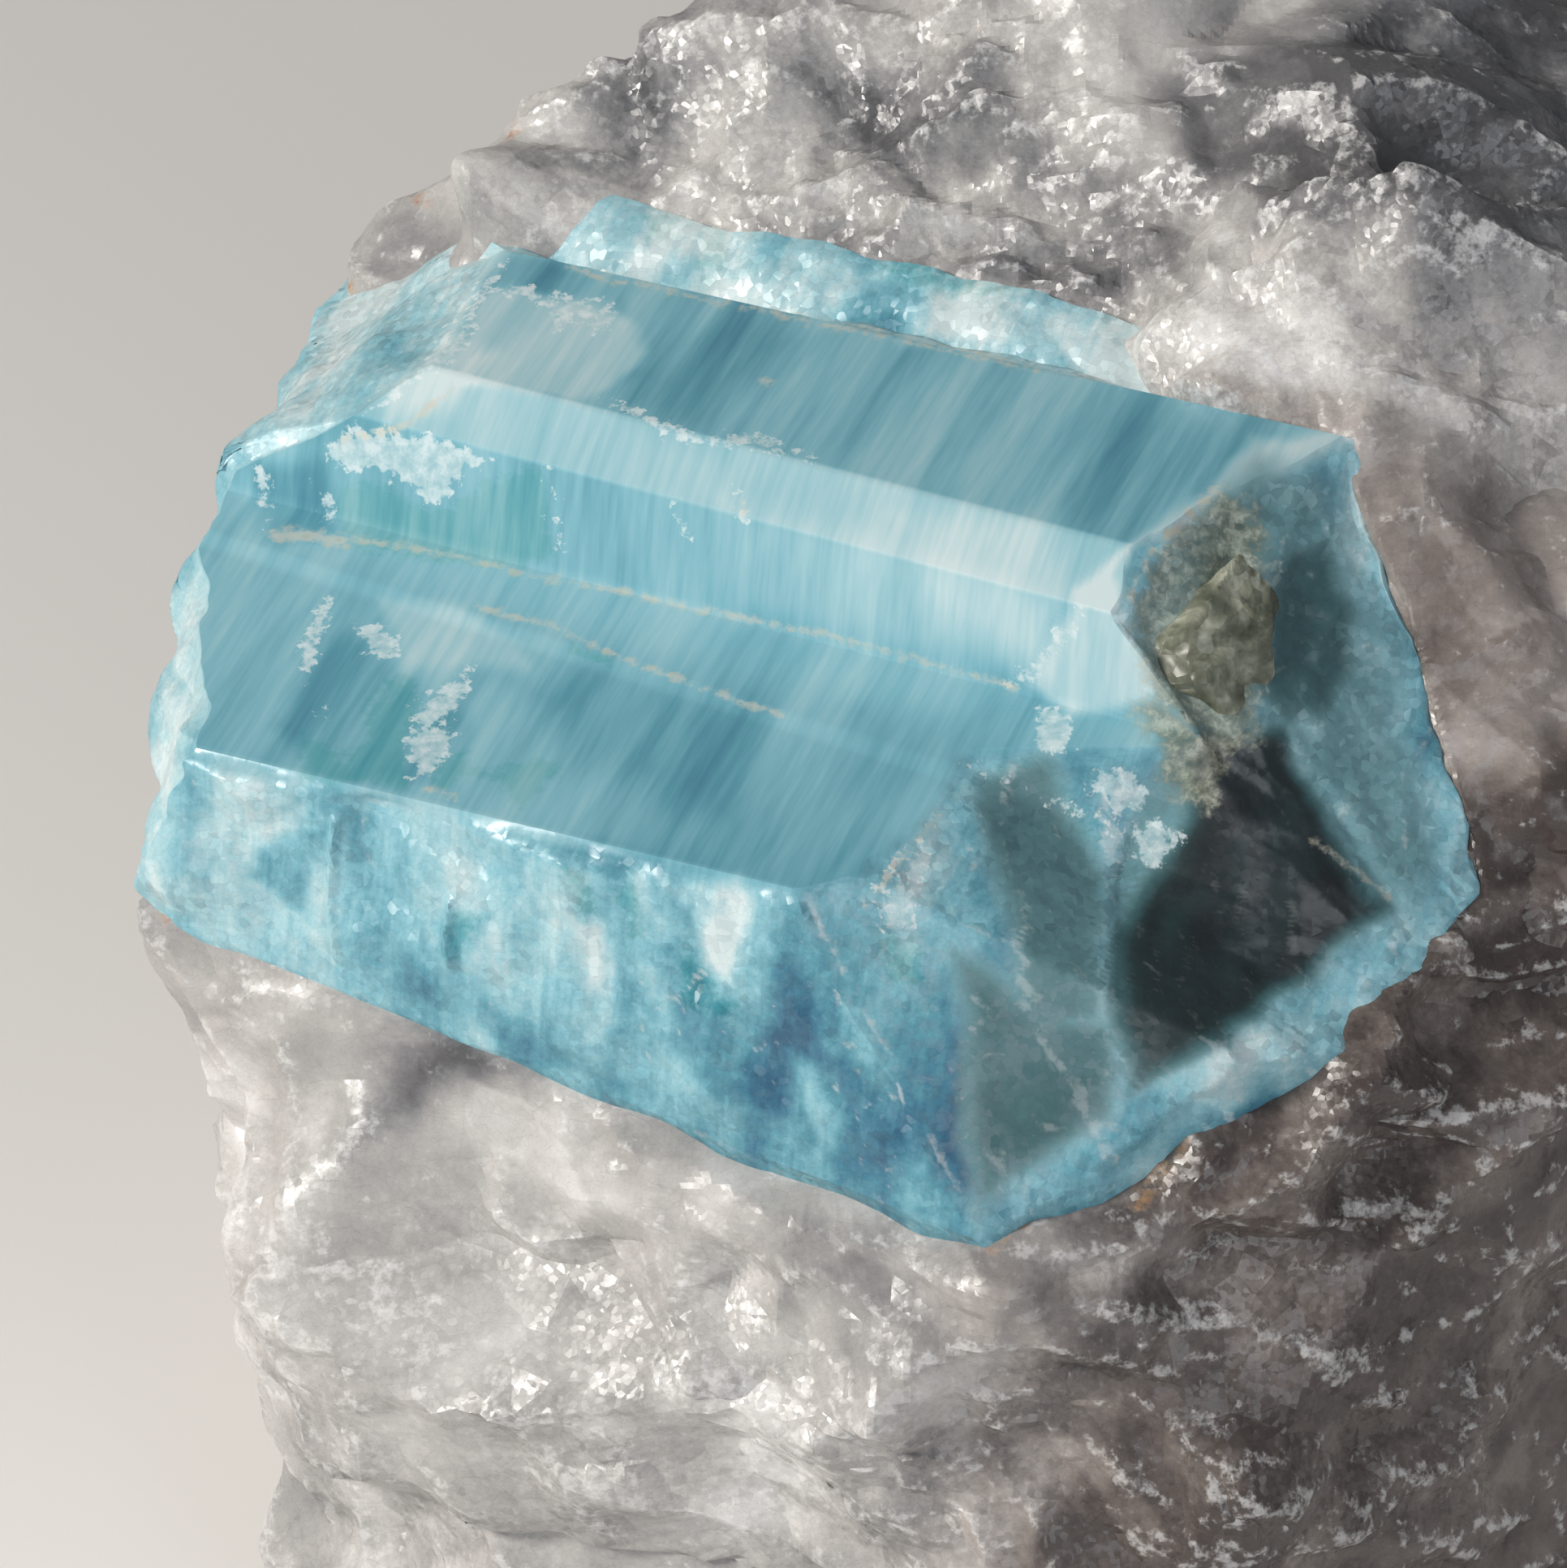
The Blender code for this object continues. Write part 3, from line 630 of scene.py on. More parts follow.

# Painted shade over the broken right end, which faces away from the light: how much, the softness in pixels,
# the outline
CRYSTAL_PAINTED_SHADE = (
    (0.36, 40, ((1470, 610), (1540, 545), (1640, 590), (1720, 800), (1770, 1060), (1640, 1200),
                (1500, 1300), (1380, 1340), (1360, 1100), (1440, 900), (1480, 760))),
    (0.66, 32, ((1560, 690), (1640, 650), (1690, 820), (1650, 900), (1600, 900), (1550, 850))),
    (1.0, 28, ((1480, 900), (1600, 900), (1640, 1000), (1660, 1060), (1700, 1110), (1620, 1190),
               (1510, 1290), (1390, 1340), (1375, 1250), (1390, 1130), (1440, 1080), (1470, 1010))),
    (0.56, 34, ((1170, 1160), (1280, 1250), (1380, 1240), (1360, 1370), (1270, 1440), (1200, 1500))),
    (0.46, 30, ((1200, 970), (1300, 930), (1380, 1080), (1370, 1250), (1240, 1290), (1230, 1100))),
)

# Softer changes of depth of colour: the change, the softness in pixels and the outline
CRYSTAL_TONES = (
    # light part of the top tread, at its left
    (-0.2, 8, ((590, 400), (612, 372), (690, 372), (752, 392), (765, 400), (800, 430), (775, 455),
                (735, 492), (712, 505), (640, 490), (556, 478), (575, 440))),
    (0.16, 12, ((618, 322), (660, 320), (770, 348), (760, 392), (700, 372), (612, 366))),
    (0.16, 40, ((780, 460), (900, 380), (1000, 420), (900, 560), (780, 500))),
    (0.10, 50, ((1320, 470), (1500, 520), (1480, 600), (1300, 660), (1250, 560))),
    (-0.14, 30, ((1100, 640), (1300, 640), (1330, 720), (1280, 850), (1130, 740))),
    # left end
    (0.22, 25, ((447, 290), (530, 285), (545, 370), (500, 454), (452, 440))),
    (0.25, 20, ((300, 570), (400, 560), (425, 655), (330, 650))),
    (0.10, 30, ((370, 480), (470, 470), (470, 540), (380, 560))),
    # lower tread: pale island, dark left end, deep middle
    (-0.18, 14, ((470, 740), (560, 745), (640, 790), (660, 830), (580, 835), (500, 838), (486, 790))),
    (0.14, 16, ((365, 800), (430, 780), (500, 850), (570, 880), (560, 970), (400, 960), (350, 900))),
    (0.16, 40, ((640, 850), (760, 800), (950, 880), (900, 1010), (700, 950))),
    (0.10, 30, ((1050, 880), (1290, 860), (1200, 960), (1050, 980))),
    # upper riser
    (-0.14, 30, ((900, 620), (1300, 740), (1290, 830), (900, 760))),
    # broken front: deeper towards the right, a blue patch at the left and mottles
    (0.16, 160, ((760, 1000), (1200, 1000), (1300, 1500), (900, 1500), (700, 1300))),
    (0.4, 14, ((563, 1115), (597, 1124), (586, 1145), (573, 1177), (559, 1172), (554, 1149))),
    (0.26, 10, ((318, 1079), (323, 1046), (346, 1024), (406, 1012), (410, 1032), (390, 1076), (376, 1130),
                (350, 1112), (344, 1094))),
    (0.20, 26, ((452, 1178), (520, 1160), (600, 1210), (640, 1290), (560, 1260), (470, 1220))),
    (0.30, 20, ((690, 1040), (800, 1060), (830, 1240), (880, 1350), (1000, 1400), (980, 1300), (900, 1210),
                (850, 1160), (840, 1080), (740, 1030))),
    (0.16, 40, ((1050, 1130), (1350, 1020), (1380, 1330), (1250, 1450), (1050, 1440), (1000, 1250))),
    (0.26, 30, ((1170, 1280), (1290, 1290), (1290, 1400), (1230, 1480), (1170, 1460))),
    (-0.22, 16, ((790, 1070), (843, 1078), (835, 1160), (800, 1150))),
    (-0.34, 16, ((848, 1085), (900, 1079), (925, 1130), (915, 1199), (880, 1180))),
    (-0.30, 16, ((705, 1128), (740, 1140), (760, 1250), (730, 1265))),
    (-0.26, 16, ((908, 1254), (950, 1262), (941, 1312), (915, 1300))),
    (-0.26, 18, ((958, 1298), (1010, 1330), (1024, 1408), (985, 1390))),
    (-0.3, 20, ((1375, 1322), (1372, 1370), (1320, 1430), (1262, 1474), (1249, 1460), (1290, 1400),
                (1340, 1345))),
    # rough strip: pale towards the right, and the left slope's pale lower part
    (-0.26, 16, ((1150, 350), (1330, 385), (1320, 440), (1120, 420))),
    (-0.2, 20, ((470, 480), (560, 420), (600, 440), (560, 500), (480, 520))),
    # right end
    (-0.3, 10, ((1535, 545), (1640, 530), (1670, 545), (1400, 672), (1385, 700), (1400, 760), (1450, 850),
                (1330, 880), (1262, 850), (1335, 722))),
    (0.14, 24, ((1470, 600), (1620, 560), (1700, 760), (1760, 1050), (1640, 1200), (1500, 1290),
                (1390, 1330), (1390, 1100), (1520, 900))),
)

# Clefts in the crystal: half a width in pixels, depth in millimetres and the route
CRYSTAL_CLEFTS = (
    (22, 0.15, ((1500, 900), (1548, 935), (1562, 1010), (1580, 1110), (1560, 1230))),
    (14, 0.3, ((1425, 1010), (1395, 1090), (1385, 1230))),
    (12, 0.2, ((1655, 1000), (1715, 1106))),
    (8, 0.25, ((560, 1110), (555, 1150), (562, 1180))),
    (5, 0.12, ((415, 1010), (408, 1110), (420, 1180))),
)


def build_crystal():
    """The prism of tourmaline with broken ends, a broken front and a rough strip."""
    grid, number, cap = crystal_grid()
    rings, around = grid.shape[:2]
    normals = ring_normals(grid)
    normals[0], normals[-1] = (-1, 0, 0), (1, 0, 0)
    flat = grid.reshape(-1, 3)
    out = normals.reshape(-1, 3)
    face = np.tile(number, rings)
    world = place(flat)
    step = mesh_step(grid)
    on_cap = np.repeat(cap > 0, around)

    # How broken each place is: the ends, the front below the step and the strip, each fading in
    # over a short way from the sharp edges of the smooth faces
    edge_fade = rise(np.repeat(np.minimum(cap, 3) / 3, around), 0.0, 1.0)
    front = rise(face, STEP_RIDGE, STEP_RIDGE + 0.25) * (1 - rise(face, FRONT_EDGE + 1.0, FRONT_EDGE + 1.9))
    strip = rise(face, 1.0, 1.3) * (1 - rise(face, 4.5, 5.0))
    broken = np.maximum(np.where(on_cap, edge_fade, 0.0), np.maximum(front, strip))
    depth = np.zeros(len(flat))
    shade = np.zeros(len(flat))
    less = np.where(strip > 0, 0.6, 1.0) * (1 - 0.85 * np.exp(-((face - FRONT_EDGE) / 0.45)**2) * ~on_cap)
    less *= np.where(on_cap, np.repeat(rise(cap, 0.0, 10.0), around), 1.0)
    for size, deep, seed in CRYSTAL_RELIEF:
        bowl, pick = scoops(world, size, seed)
        depth += deep * (bowl + 0.15) * less * carried(size, step)
        shade += (pick - 0.5) * 0.5
    for size, deep, seed in CRYSTAL_SHARDS:
        height = shards(flat / (1.0, 2.0, 2.0), size, seed) + 0.15
        depth += deep * height * less * carried(size, step)
    depth *= broken
    ridge = crests(depth.reshape(rings, around)).ravel() / CRYSTAL_CREST
    px, py = in_photo(world)
    roaming = wandering(px, py, world, 26.0, 2.2)
    marks = {key: mark(px, py, roaming, *shapes) for key, shapes in CRYSTAL_MARKS.items()}
    for width, deep, line in CRYSTAL_CLEFTS:
        depth += deep * np.exp(-(beside(px, py, line) / width)**2)
    # The right end is carved straight back, so that its steep wall keeps its shape
    back = np.array([0.78, 0.38, 0.5])
    right_cap = rings - RIGHT_CAP_STEPS
    aside = np.repeat(rise(np.arange(rings), right_cap - 3.0, right_cap + 5.0), around)[:, None] * 0.75
    out = out * (1 - aside) + back * aside
    points = place(flat - out * depth[:, None])
    at_left = flat[:, 0] < SECTION_SPAN / 2
    tone = np.where(on_cap, np.where(at_left, LEFT_END_TONE, RIGHT_END_TONE), face_tone(face))
    for change, soft, corners in CRYSTAL_TONES:
        tone = tone + change * rise(inside(*roaming, corners), -soft, soft)
    # Painted shade over the broken right end, which faces away from the light
    dim = np.zeros(len(flat))
    for change, soft, corners in CRYSTAL_PAINTED_SHADE:
        dim = np.maximum(dim, change * rise(inside(*roaming, corners), -soft, soft))
    # Streaks across the smooth faces, 0.8 mm wide and many millimetres long, and on the fractures
    # patches 1.6 mm wide and 4 mm down the face
    streaks = clouds(flat / (0.8, 8.0, 6.0), 1.0, 95, 3) * (tone + 0.2) * 0.36 * (1 - 0.5 * broken)
    patches = clouds(flat / (1.8, 3.6, 3.6) + 0.4 * clouds(flat, 2.0, 101, 1)[:, None], 1.0, 97, 4)
    tone = tone + streaks + (0.62 * patches + 0.16 * shade) * broken
    marks.update(uvw=flat, broken=broken, tone=tone, dim=dim * (1 + 0.3 * patches),
                 ridge=np.clip(ridge, -1.0, 1.0))
    poles = np.array([points[:around].mean(0), points[-around:].mean(0)])
    points = np.vstack([points, poles])
    for key, values in marks.items():
        marks[key] = np.concatenate([values, values[[0, -1]]])
    pole = len(points) - 2
    first = np.arange(around)
    last = first + (rings - 1) * around
    faces = [tube_faces(rings, around), np.column_stack([np.roll(first, -1), first, np.full(around, pole)]),
             np.column_stack([last, np.roll(last, -1), np.full(around, pole + 1)])]
    return make_piece("tourmaline_prism", points, faces, marks, "indicolite_crystal")


# The lump of quartz

def sphere_grid(n, front_share):
    """Directions over a whole sphere from a square grid of n by n: each place of the square goes to
    the disc of the same ring number, and the disc's radius to the angle from the line of sight, so
    that front_share of the radius covers the half that faces the camera."""
    side = np.linspace(-1, 1, n)
    a, b = np.meshgrid(side, side, indexing="ij")
    radius = np.maximum(np.abs(a), np.abs(b))
    with np.errstate(divide="ignore", invalid="ignore"):
        turn = np.where(np.abs(a) > np.abs(b), math.pi / 4 * b / a + np.where(a < 0, math.pi, 0.0),
                        math.pi / 2 - math.pi / 4 * a / b + np.where(b < 0, math.pi, 0.0))
    turn = np.nan_to_num(turn)
    front = np.minimum(radius / front_share, 1.0) * math.pi / 2
    back = np.clip((radius - front_share) / (1 - front_share), 0.0, 1.0) * math.pi / 2
    angle = front + back
    side_a = np.cross(SIGHT, (0.0, 0.0, 1.0))
    side_a /= np.linalg.norm(side_a)
    side_b = np.cross(side_a, SIGHT)
    ring = np.cos(turn)[..., None] * side_a + np.sin(turn)[..., None] * side_b
    return np.cos(angle)[..., None] * SIGHT + np.sin(angle)[..., None] * ring


def reach(directions, centre, planes):
    """Distance from a centre to a convex body's surface along each direction: the least over its
    planes of normal . (point - centre) / normal . direction."""
    best = np.full(directions.shape[:-1], FAR)
    for point, normal in planes:
        n = np.asarray(normal, float)
        ahead = directions @ n
        gap = n @ (np.asarray(point, float) - centre)
        best = np.where(ahead > 1e-6, np.minimum(best, gap / np.maximum(ahead, 1e-6)), best)
    return best


# Marks on the quartz, in the photograph's pixels
QUARTZ_MARKS = {
    "milky": (
        (
            ((150, 1180), (300, 1190), (415, 1215), (470, 1250), (505, 1262), (470, 1300), (450, 1400),
             (440, 1500), (400, 1560), (390, 1700), (330, 1760), (240, 1640), (190, 1500)),
            ((560, 1330), (620, 1340), (640, 1420), (590, 1470), (540, 1420)),
            ((640, 1390), (720, 1380), (800, 1440), (810, 1500), (700, 1520), (630, 1470)),
            ((840, 1400), (1000, 1440), (1090, 1470), (1080, 1560), (960, 1600), (860, 1560)),
            ((900, 1600), (1010, 1620), (1020, 1932), (900, 1932)),
            ((930, 90), (1060, 150), (1140, 200), (1180, 290), (1000, 270), (930, 240)),
            ((830, 120), (920, 90), (925, 240), (860, 255), (790, 240)),
            ((1560, 250), (1700, 260), (1720, 480), (1640, 540), (1480, 490), (1430, 420), (1440, 350)),
            ((1700, 370), (1880, 380), (1890, 540), (1770, 560), (1690, 500)),
            ((590, 150), (700, 90), (745, 150), (690, 260), (630, 285), (540, 260)),
        ),
        (
            (22, ((500, 1262), (470, 1310), (458, 1380), (400, 1500), (385, 1600), (350, 1700))),
            (14, ((560, 1700), (620, 1660), (700, 1690), (780, 1650))),
            (16, ((1500, 240), (1570, 238), (1640, 262))),
            (12, ((1250, 1640), (1180, 1780), (1190, 1900))),
            (12, ((1600, 1250), (1560, 1330), (1640, 1440), (1760, 1400))),
            (16, ((1100, 60), (1200, 130), (1300, 110), (1430, 180))),
        ),
    ),
    "smoky": (
        (
            # under the crystal's lower edge: painted shade in the recess, over the smoky colour of a clear
            # zone
            ((505, 1262), (640, 1325), (620, 1340), (540, 1350), (510, 1400), (480, 1380), (490, 1310)),
            # lower right: smoky brown-grey, with painted shade where the quartz turns away from the light
            ((1330, 1490), (1500, 1330), (1700, 1180), (1990, 1080), (1990, 1990), (1150, 1990),
             (1270, 1880), (1340, 1800), (1200, 1720), (1310, 1640), (1420, 1560)),
            ((1750, 960), (1990, 900), (1990, 1100), (1790, 1100)),
            ((770, 90), (830, 110), (815, 180), (790, 232), (765, 200)),
            ((1050, 60), (1250, 40), (1260, 160), (1100, 200), (1040, 140)),
            ((1460, 60), (1990, -60), (1990, 330), (1700, 250), (1480, 240)),
            ((1480, 40), (1960, -60), (1960, 300), (1700, 220), (1500, 210)),
            # painted shadow in the cleft behind the crystal
            ((1170, 318), (1310, 300), (1480, 285), (1440, 330), (1330, 372), (1250, 345)),
        ),
        (
            (24, ((800, 95), (808, 150), (785, 228))),
        ),
    ),
    "stain": (
        (
            ((405, 300), (442, 310), (445, 420), (436, 480), (400, 505), (385, 470), (410, 400)),
            ((330, 500), (375, 500), (350, 570), (316, 600), (300, 690), (265, 720), (280, 600)),
            ((250, 800), (282, 780), (290, 900), (260, 960), (235, 930)),
            ((190, 1110), (230, 1105), (290, 1140), (280, 1160), (200, 1140)),
        ),
        (
            (7, ((1640, 590), (1700, 760), (1740, 900), (1768, 1060))),
            (5, ((1768, 1070), (1640, 1190), (1500, 1295), (1300, 1450), (1222, 1515))),
            (9, ((1400, 1340), (1440, 1400), (1400, 1480))),
            (5, ((640, 150), (655, 190), (625, 260))),
            (5, ((505, 235), (520, 250))),
            (4, ((745, 335), (1000, 395), (1200, 440))),
        ),
    ),
}

# Relief: scoops as size, depth and seed, then flat facets as size, depth, seed and the share of them
# left where the quartz is smooth
QUARTZ_GRID, QUARTZ_FRONT_SHARE = 306, 0.8
QUARTZ_RELIEF = ((10.0, 1.9, 11), (4.6, 1.1, 23))
QUARTZ_SHADES = ((3.4, 75), (1.5, 77))
# Height in millimetres at which a crest turns fully white
QUARTZ_CREST = 0.035
QUARTZ_SHARDS = ((4.4, 1.1, 61, 0.9), (2.3, 0.8, 67, 0.8), (1.15, 0.4, 71, 0.6), (0.55, 0.19, 73, 0.35))
# Local swells of the quartz over the crystal: pixel (x, y), radius in pixels, height in millimetres
LOWER_RIGHT_SWELLS = ((1670, 1290, 90, 0.9), (1450, 1410, 100, 0.9))
QUARTZ_SWELLS = {
    "quartz_rear": ((675, 262, 62, 2.2), (1395, 470, 40, 0.8)),
    "quartz_seat": ((1225, 1560, 75, 1.1), (1010, 1500, 110, 0.55), (800, 1410, 80, 0.35),
                    *LOWER_RIGHT_SWELLS),
    "quartz_shoulder": LOWER_RIGHT_SWELLS,
}
# Where the crystal hides the quartz, which is sunk there to stay clear of it
CRYSTAL_OUTLINE = ((345, 560), (450, 290), (640, 322), (750, 250), (1320, 385), (1420, 480), (1635, 545),
                   (1728, 750), (1818, 1085), (1650, 1205), (1400, 1345), (1215, 1460), (800, 1325),
                   (415, 1165), (215, 1090), (205, 1000), (280, 700))
HIDDEN_SINK = 2.2
QUARTZ_SMOOTH = ((150, 1200), (300, 1190), (470, 1250), (450, 1400), (420, 1500), (390, 1640), (260, 1600),
                 (190, 1500))


def pushed_out(n, front_share, centre, planes):
    """Ways from a centre over a sphere and the points where they meet a body's planes."""
    ways = sphere_grid(n, front_share)
    points = centre + ways * reach(ways, centre, planes)[..., None]
    return ways.reshape(-1, 3), points.reshape(-1, 3)


def closed_piece(name, points, n, marks, node, sharp_deg=SHARP_DEG):
    """A piece from the points of a sphere grid, whose border is drawn into one point behind."""
    index = np.arange(n * n).reshape(n, n)
    border = np.ones((n, n), bool)
    border[1:-1, 1:-1] = False
    index[border] = 0
    quads = np.stack([index[:-1, :-1], index[1:, :-1], index[1:, 1:], index[:-1, 1:]], 2).reshape(-1, 4)
    used, again = np.unique(quads, return_inverse=True)
    quads = again.reshape(-1, 4)
    # Beside the point behind, a face keeps each of its corners once
    whole = (quads > 0).all(1)
    cut = [list(dict.fromkeys(quad)) for quad in quads[~whole].tolist()]
    faces = [quads[whole]] + [np.array([face]) for face in cut if len(face) > 2]
    marks = {key: values[used] for key, values in marks.items()}
    return make_piece(name, points[used], faces, marks, node, sharp_deg)


def build_lump_part(name, centre, planes):
    """One body of the lump: ways from its centre pushed out to its planes, less the relief's depth,
    with the fields that its material reads."""
    n = QUARTZ_GRID
    ways, points = pushed_out(n, QUARTZ_FRONT_SHARE, np.asarray(centre, float), planes)
    step = mesh_step(points.reshape(n, n, 3))
    depth = sum(deep * scoops(points, size, seed)[0] for size, deep, seed in QUARTZ_RELIEF)
    contact = to_line(points, place(CONTACT))
    depth *= np.clip(contact / CONTACT_FADE, CONTACT_LEAST, 1.0)
    px, py = in_photo(points)
    roaming = wandering(*wandering(px, py, points, 60.0, 4.0), points, 20.0, 0.9)
    marks = {key: mark(px, py, roaming, *shapes, spread=34.0) for key, shapes in QUARTZ_MARKS.items()}
    smooth = rise(inside(px, py, QUARTZ_SMOOTH), -30.0, 30.0)
    grainy = (0.25 + 0.75 * rise(clouds(points, 6.0, 5), -0.15, 0.3)) * (1 - 0.5 * smooth)
    for size, deep, seed, least in QUARTZ_SHARDS:
        height = shards(points, size, seed)
        seen = carried(size, step) * (least + (1 - least) * grainy)
        away = 0.9 * size if size > 2 else 0.6 * size
        depth += deep * height * seen * np.clip(contact / away, CONTACT_LEAST, 1.0)
    shade = sum(scoops(points, size, seed)[1] - 0.5 for size, seed in QUARTZ_SHADES)
    ridge = crests(depth.reshape(n, n)).ravel() / QUARTZ_CREST
    for x, y, wide, high in QUARTZ_SWELLS.get(name, ()):
        depth -= high * np.exp(-((px - x)**2 + (py - y)**2) / wide**2) * (ways @ SIGHT > 0)
    hidden = rise(inside(px, py, CRYSTAL_OUTLINE), -12.0, 40.0) * (ways @ SIGHT > 0)
    if name == "quartz_rear":
        hidden *= rise(px, 1450.0, 1520.0)
    depth += HIDDEN_SINK * hidden
    depth *= np.clip(points[:, 2] / BASE_FADE, 0.0, 1.0)
    points = points - ways * depth[:, None]
    points[:, 2] = np.maximum(points[:, 2], 0.0)
    # How pale each place is: its zone, which holds painted shade under the crystal, in a cleft and at the
    # lower right, its fracture facet, long veils and clouds of 0.6 mm
    veils = clouds(points + 3.0 * clouds(points, 7.0, 83, 1)[:, None], 3.2, 81, 4)
    level = 0.4 + 0.1 * marks.pop("milky") - 0.24 * marks.pop("smoky") + 0.2 * shade + 0.32 * veils
    level += clouds(points, 0.9, 89, 3) * (0.04 + 0.2 * grainy)
    warmth = rise(px, 900.0, 1700.0) * rise(py, 250.0, 900.0) + 0.4 * clouds(points, 6.0, 87, 2)
    marks.update(grainy=grainy, level=level, ridge=np.clip(ridge, -1.0, 1.0), warmth=warmth)
    return closed_piece(name, points, n, marks, "quartz_matrix", SHARP_QUARTZ_DEG)


# The grain stands out of its hollow by this, and its facets are given as size, depth and seed
GRAIN_PROUD = 0.5
GRAIN_GRID, GRAIN_FRONT_SHARE = 90, 0.7
GRAIN_SHARDS = ((1.3, 0.3, 91), (0.6, 0.1, 93))


def build_grain():
    """The feldspar grain: ways from its centre pushed out to its cleavage planes, less facets."""
    planes = []
    for normal, distance in GRAIN_FACES:
        n = np.asarray(normal, float)
        n /= np.linalg.norm(n)
        planes.append((place(np.asarray(GRAIN_CENTRE) + n * (distance + GRAIN_PROUD)), n @ AXES))
    ways, points = pushed_out(GRAIN_GRID, GRAIN_FRONT_SHARE, place(GRAIN_CENTRE), planes)
    depth = sum(deep * (shards(points, size, seed) + 0.5) for size, deep, seed in GRAIN_SHARDS)
    points = points - ways * depth[:, None]
    return closed_piece("feldspar", points, GRAIN_GRID, {}, "feldspar_grain")


# Materials

def linear(hex_colour):
    """sRGB hex to a linear colour."""
    parts = [int(hex_colour[k:k + 2], 16) / 255 for k in (1, 3, 5)]
    return tuple(c / 12.92 if c <= 0.04045 else ((c + 0.055) / 1.055)**2.4 for c in parts) + (1.0,)


def feed(tree, node, inputs):
    """Gives a node's inputs, in order or by name or number, their values: outputs of other nodes,
    numbers, vectors or hex colours."""
    for key, value in (inputs.items() if isinstance(inputs, dict) else enumerate(inputs)):
        if isinstance(value, bpy.types.NodeSocket):
            tree.links.new(value, node.inputs[key])
        else:
            node.inputs[key].default_value = linear(value) if isinstance(value, str) else value


def add(tree, kind, inputs=(), out=0, stops=(), **settings):
    """Adds a node with its inputs and settings, and the stops of its ramp as places and hex colours,
    and gives one of its outputs."""
    node = tree.nodes.new("ShaderNode" + kind)
    for key, value in settings.items():
        setattr(node, key, value)
    for _ in stops[2:]:
        node.color_ramp.elements.new(0.5)
    for k, (at, colour) in enumerate(stops):
        node.color_ramp.elements[k].position = at
        node.color_ramp.elements[k].color = linear(colour)
    feed(tree, node, inputs)
    return node.outputs[out]


def new_material(name):
    """A material with its node tree and its shader."""
    material = bpy.data.materials.new(name)
    material.use_nodes = True
    return material, material.node_tree, material.node_tree.nodes["Principled BSDF"]


def object_mm(tree):
    """Object coordinates in millimetres."""
    metres = add(tree, "TexCoord", out="Object")
    return add(tree, "Mapping", {"Vector": metres, "Scale": (1000.0, 1000.0, 1000.0)})


def laid_over(tree, under, over, field, torn_by=0.0, ragged=0.0, edge=(0.0, 1.0), most=1.0):
    """A colour laid over another where a field passes its edge, torn by ragged noise, up to the
    given share. With it comes that share at each place."""
    torn = add(tree, "Math", (ragged, torn_by, field), operation="MULTIPLY_ADD")
    share = add(tree, "MapRange", (torn, *edge, 0.0, most), interpolation_type="SMOOTHSTEP")
    return add(tree, "Mix", {0: share, 6: under, 7: over}, out=2, data_type="RGBA"), share


def facets(tree, source, size_mm, tilt):
    """Height of small flat facets in millimetres: in each Voronoi cell a plane through its centre,
    tilted at random, which is the dot product of the cell's random colour with the way from it."""
    centre = add(tree, "TexVoronoi", {"Vector": source, "Scale": 1.0 / size_mm}, out="Position")
    away = add(tree, "VectorMath", (source, centre), operation="SUBTRACT")
    lean = add(tree, "VectorMath", (centre.node.outputs["Color"], (0.5, 0.5, 0.5)), operation="SUBTRACT")
    height = add(tree, "VectorMath", (away, lean), out="Value", operation="DOT_PRODUCT")
    return add(tree, "Math", (height, tilt), operation="MULTIPLY")


# How much of the colour under it the bruised white and the painted glint cover at most
WHITE_SHARE = 0.72


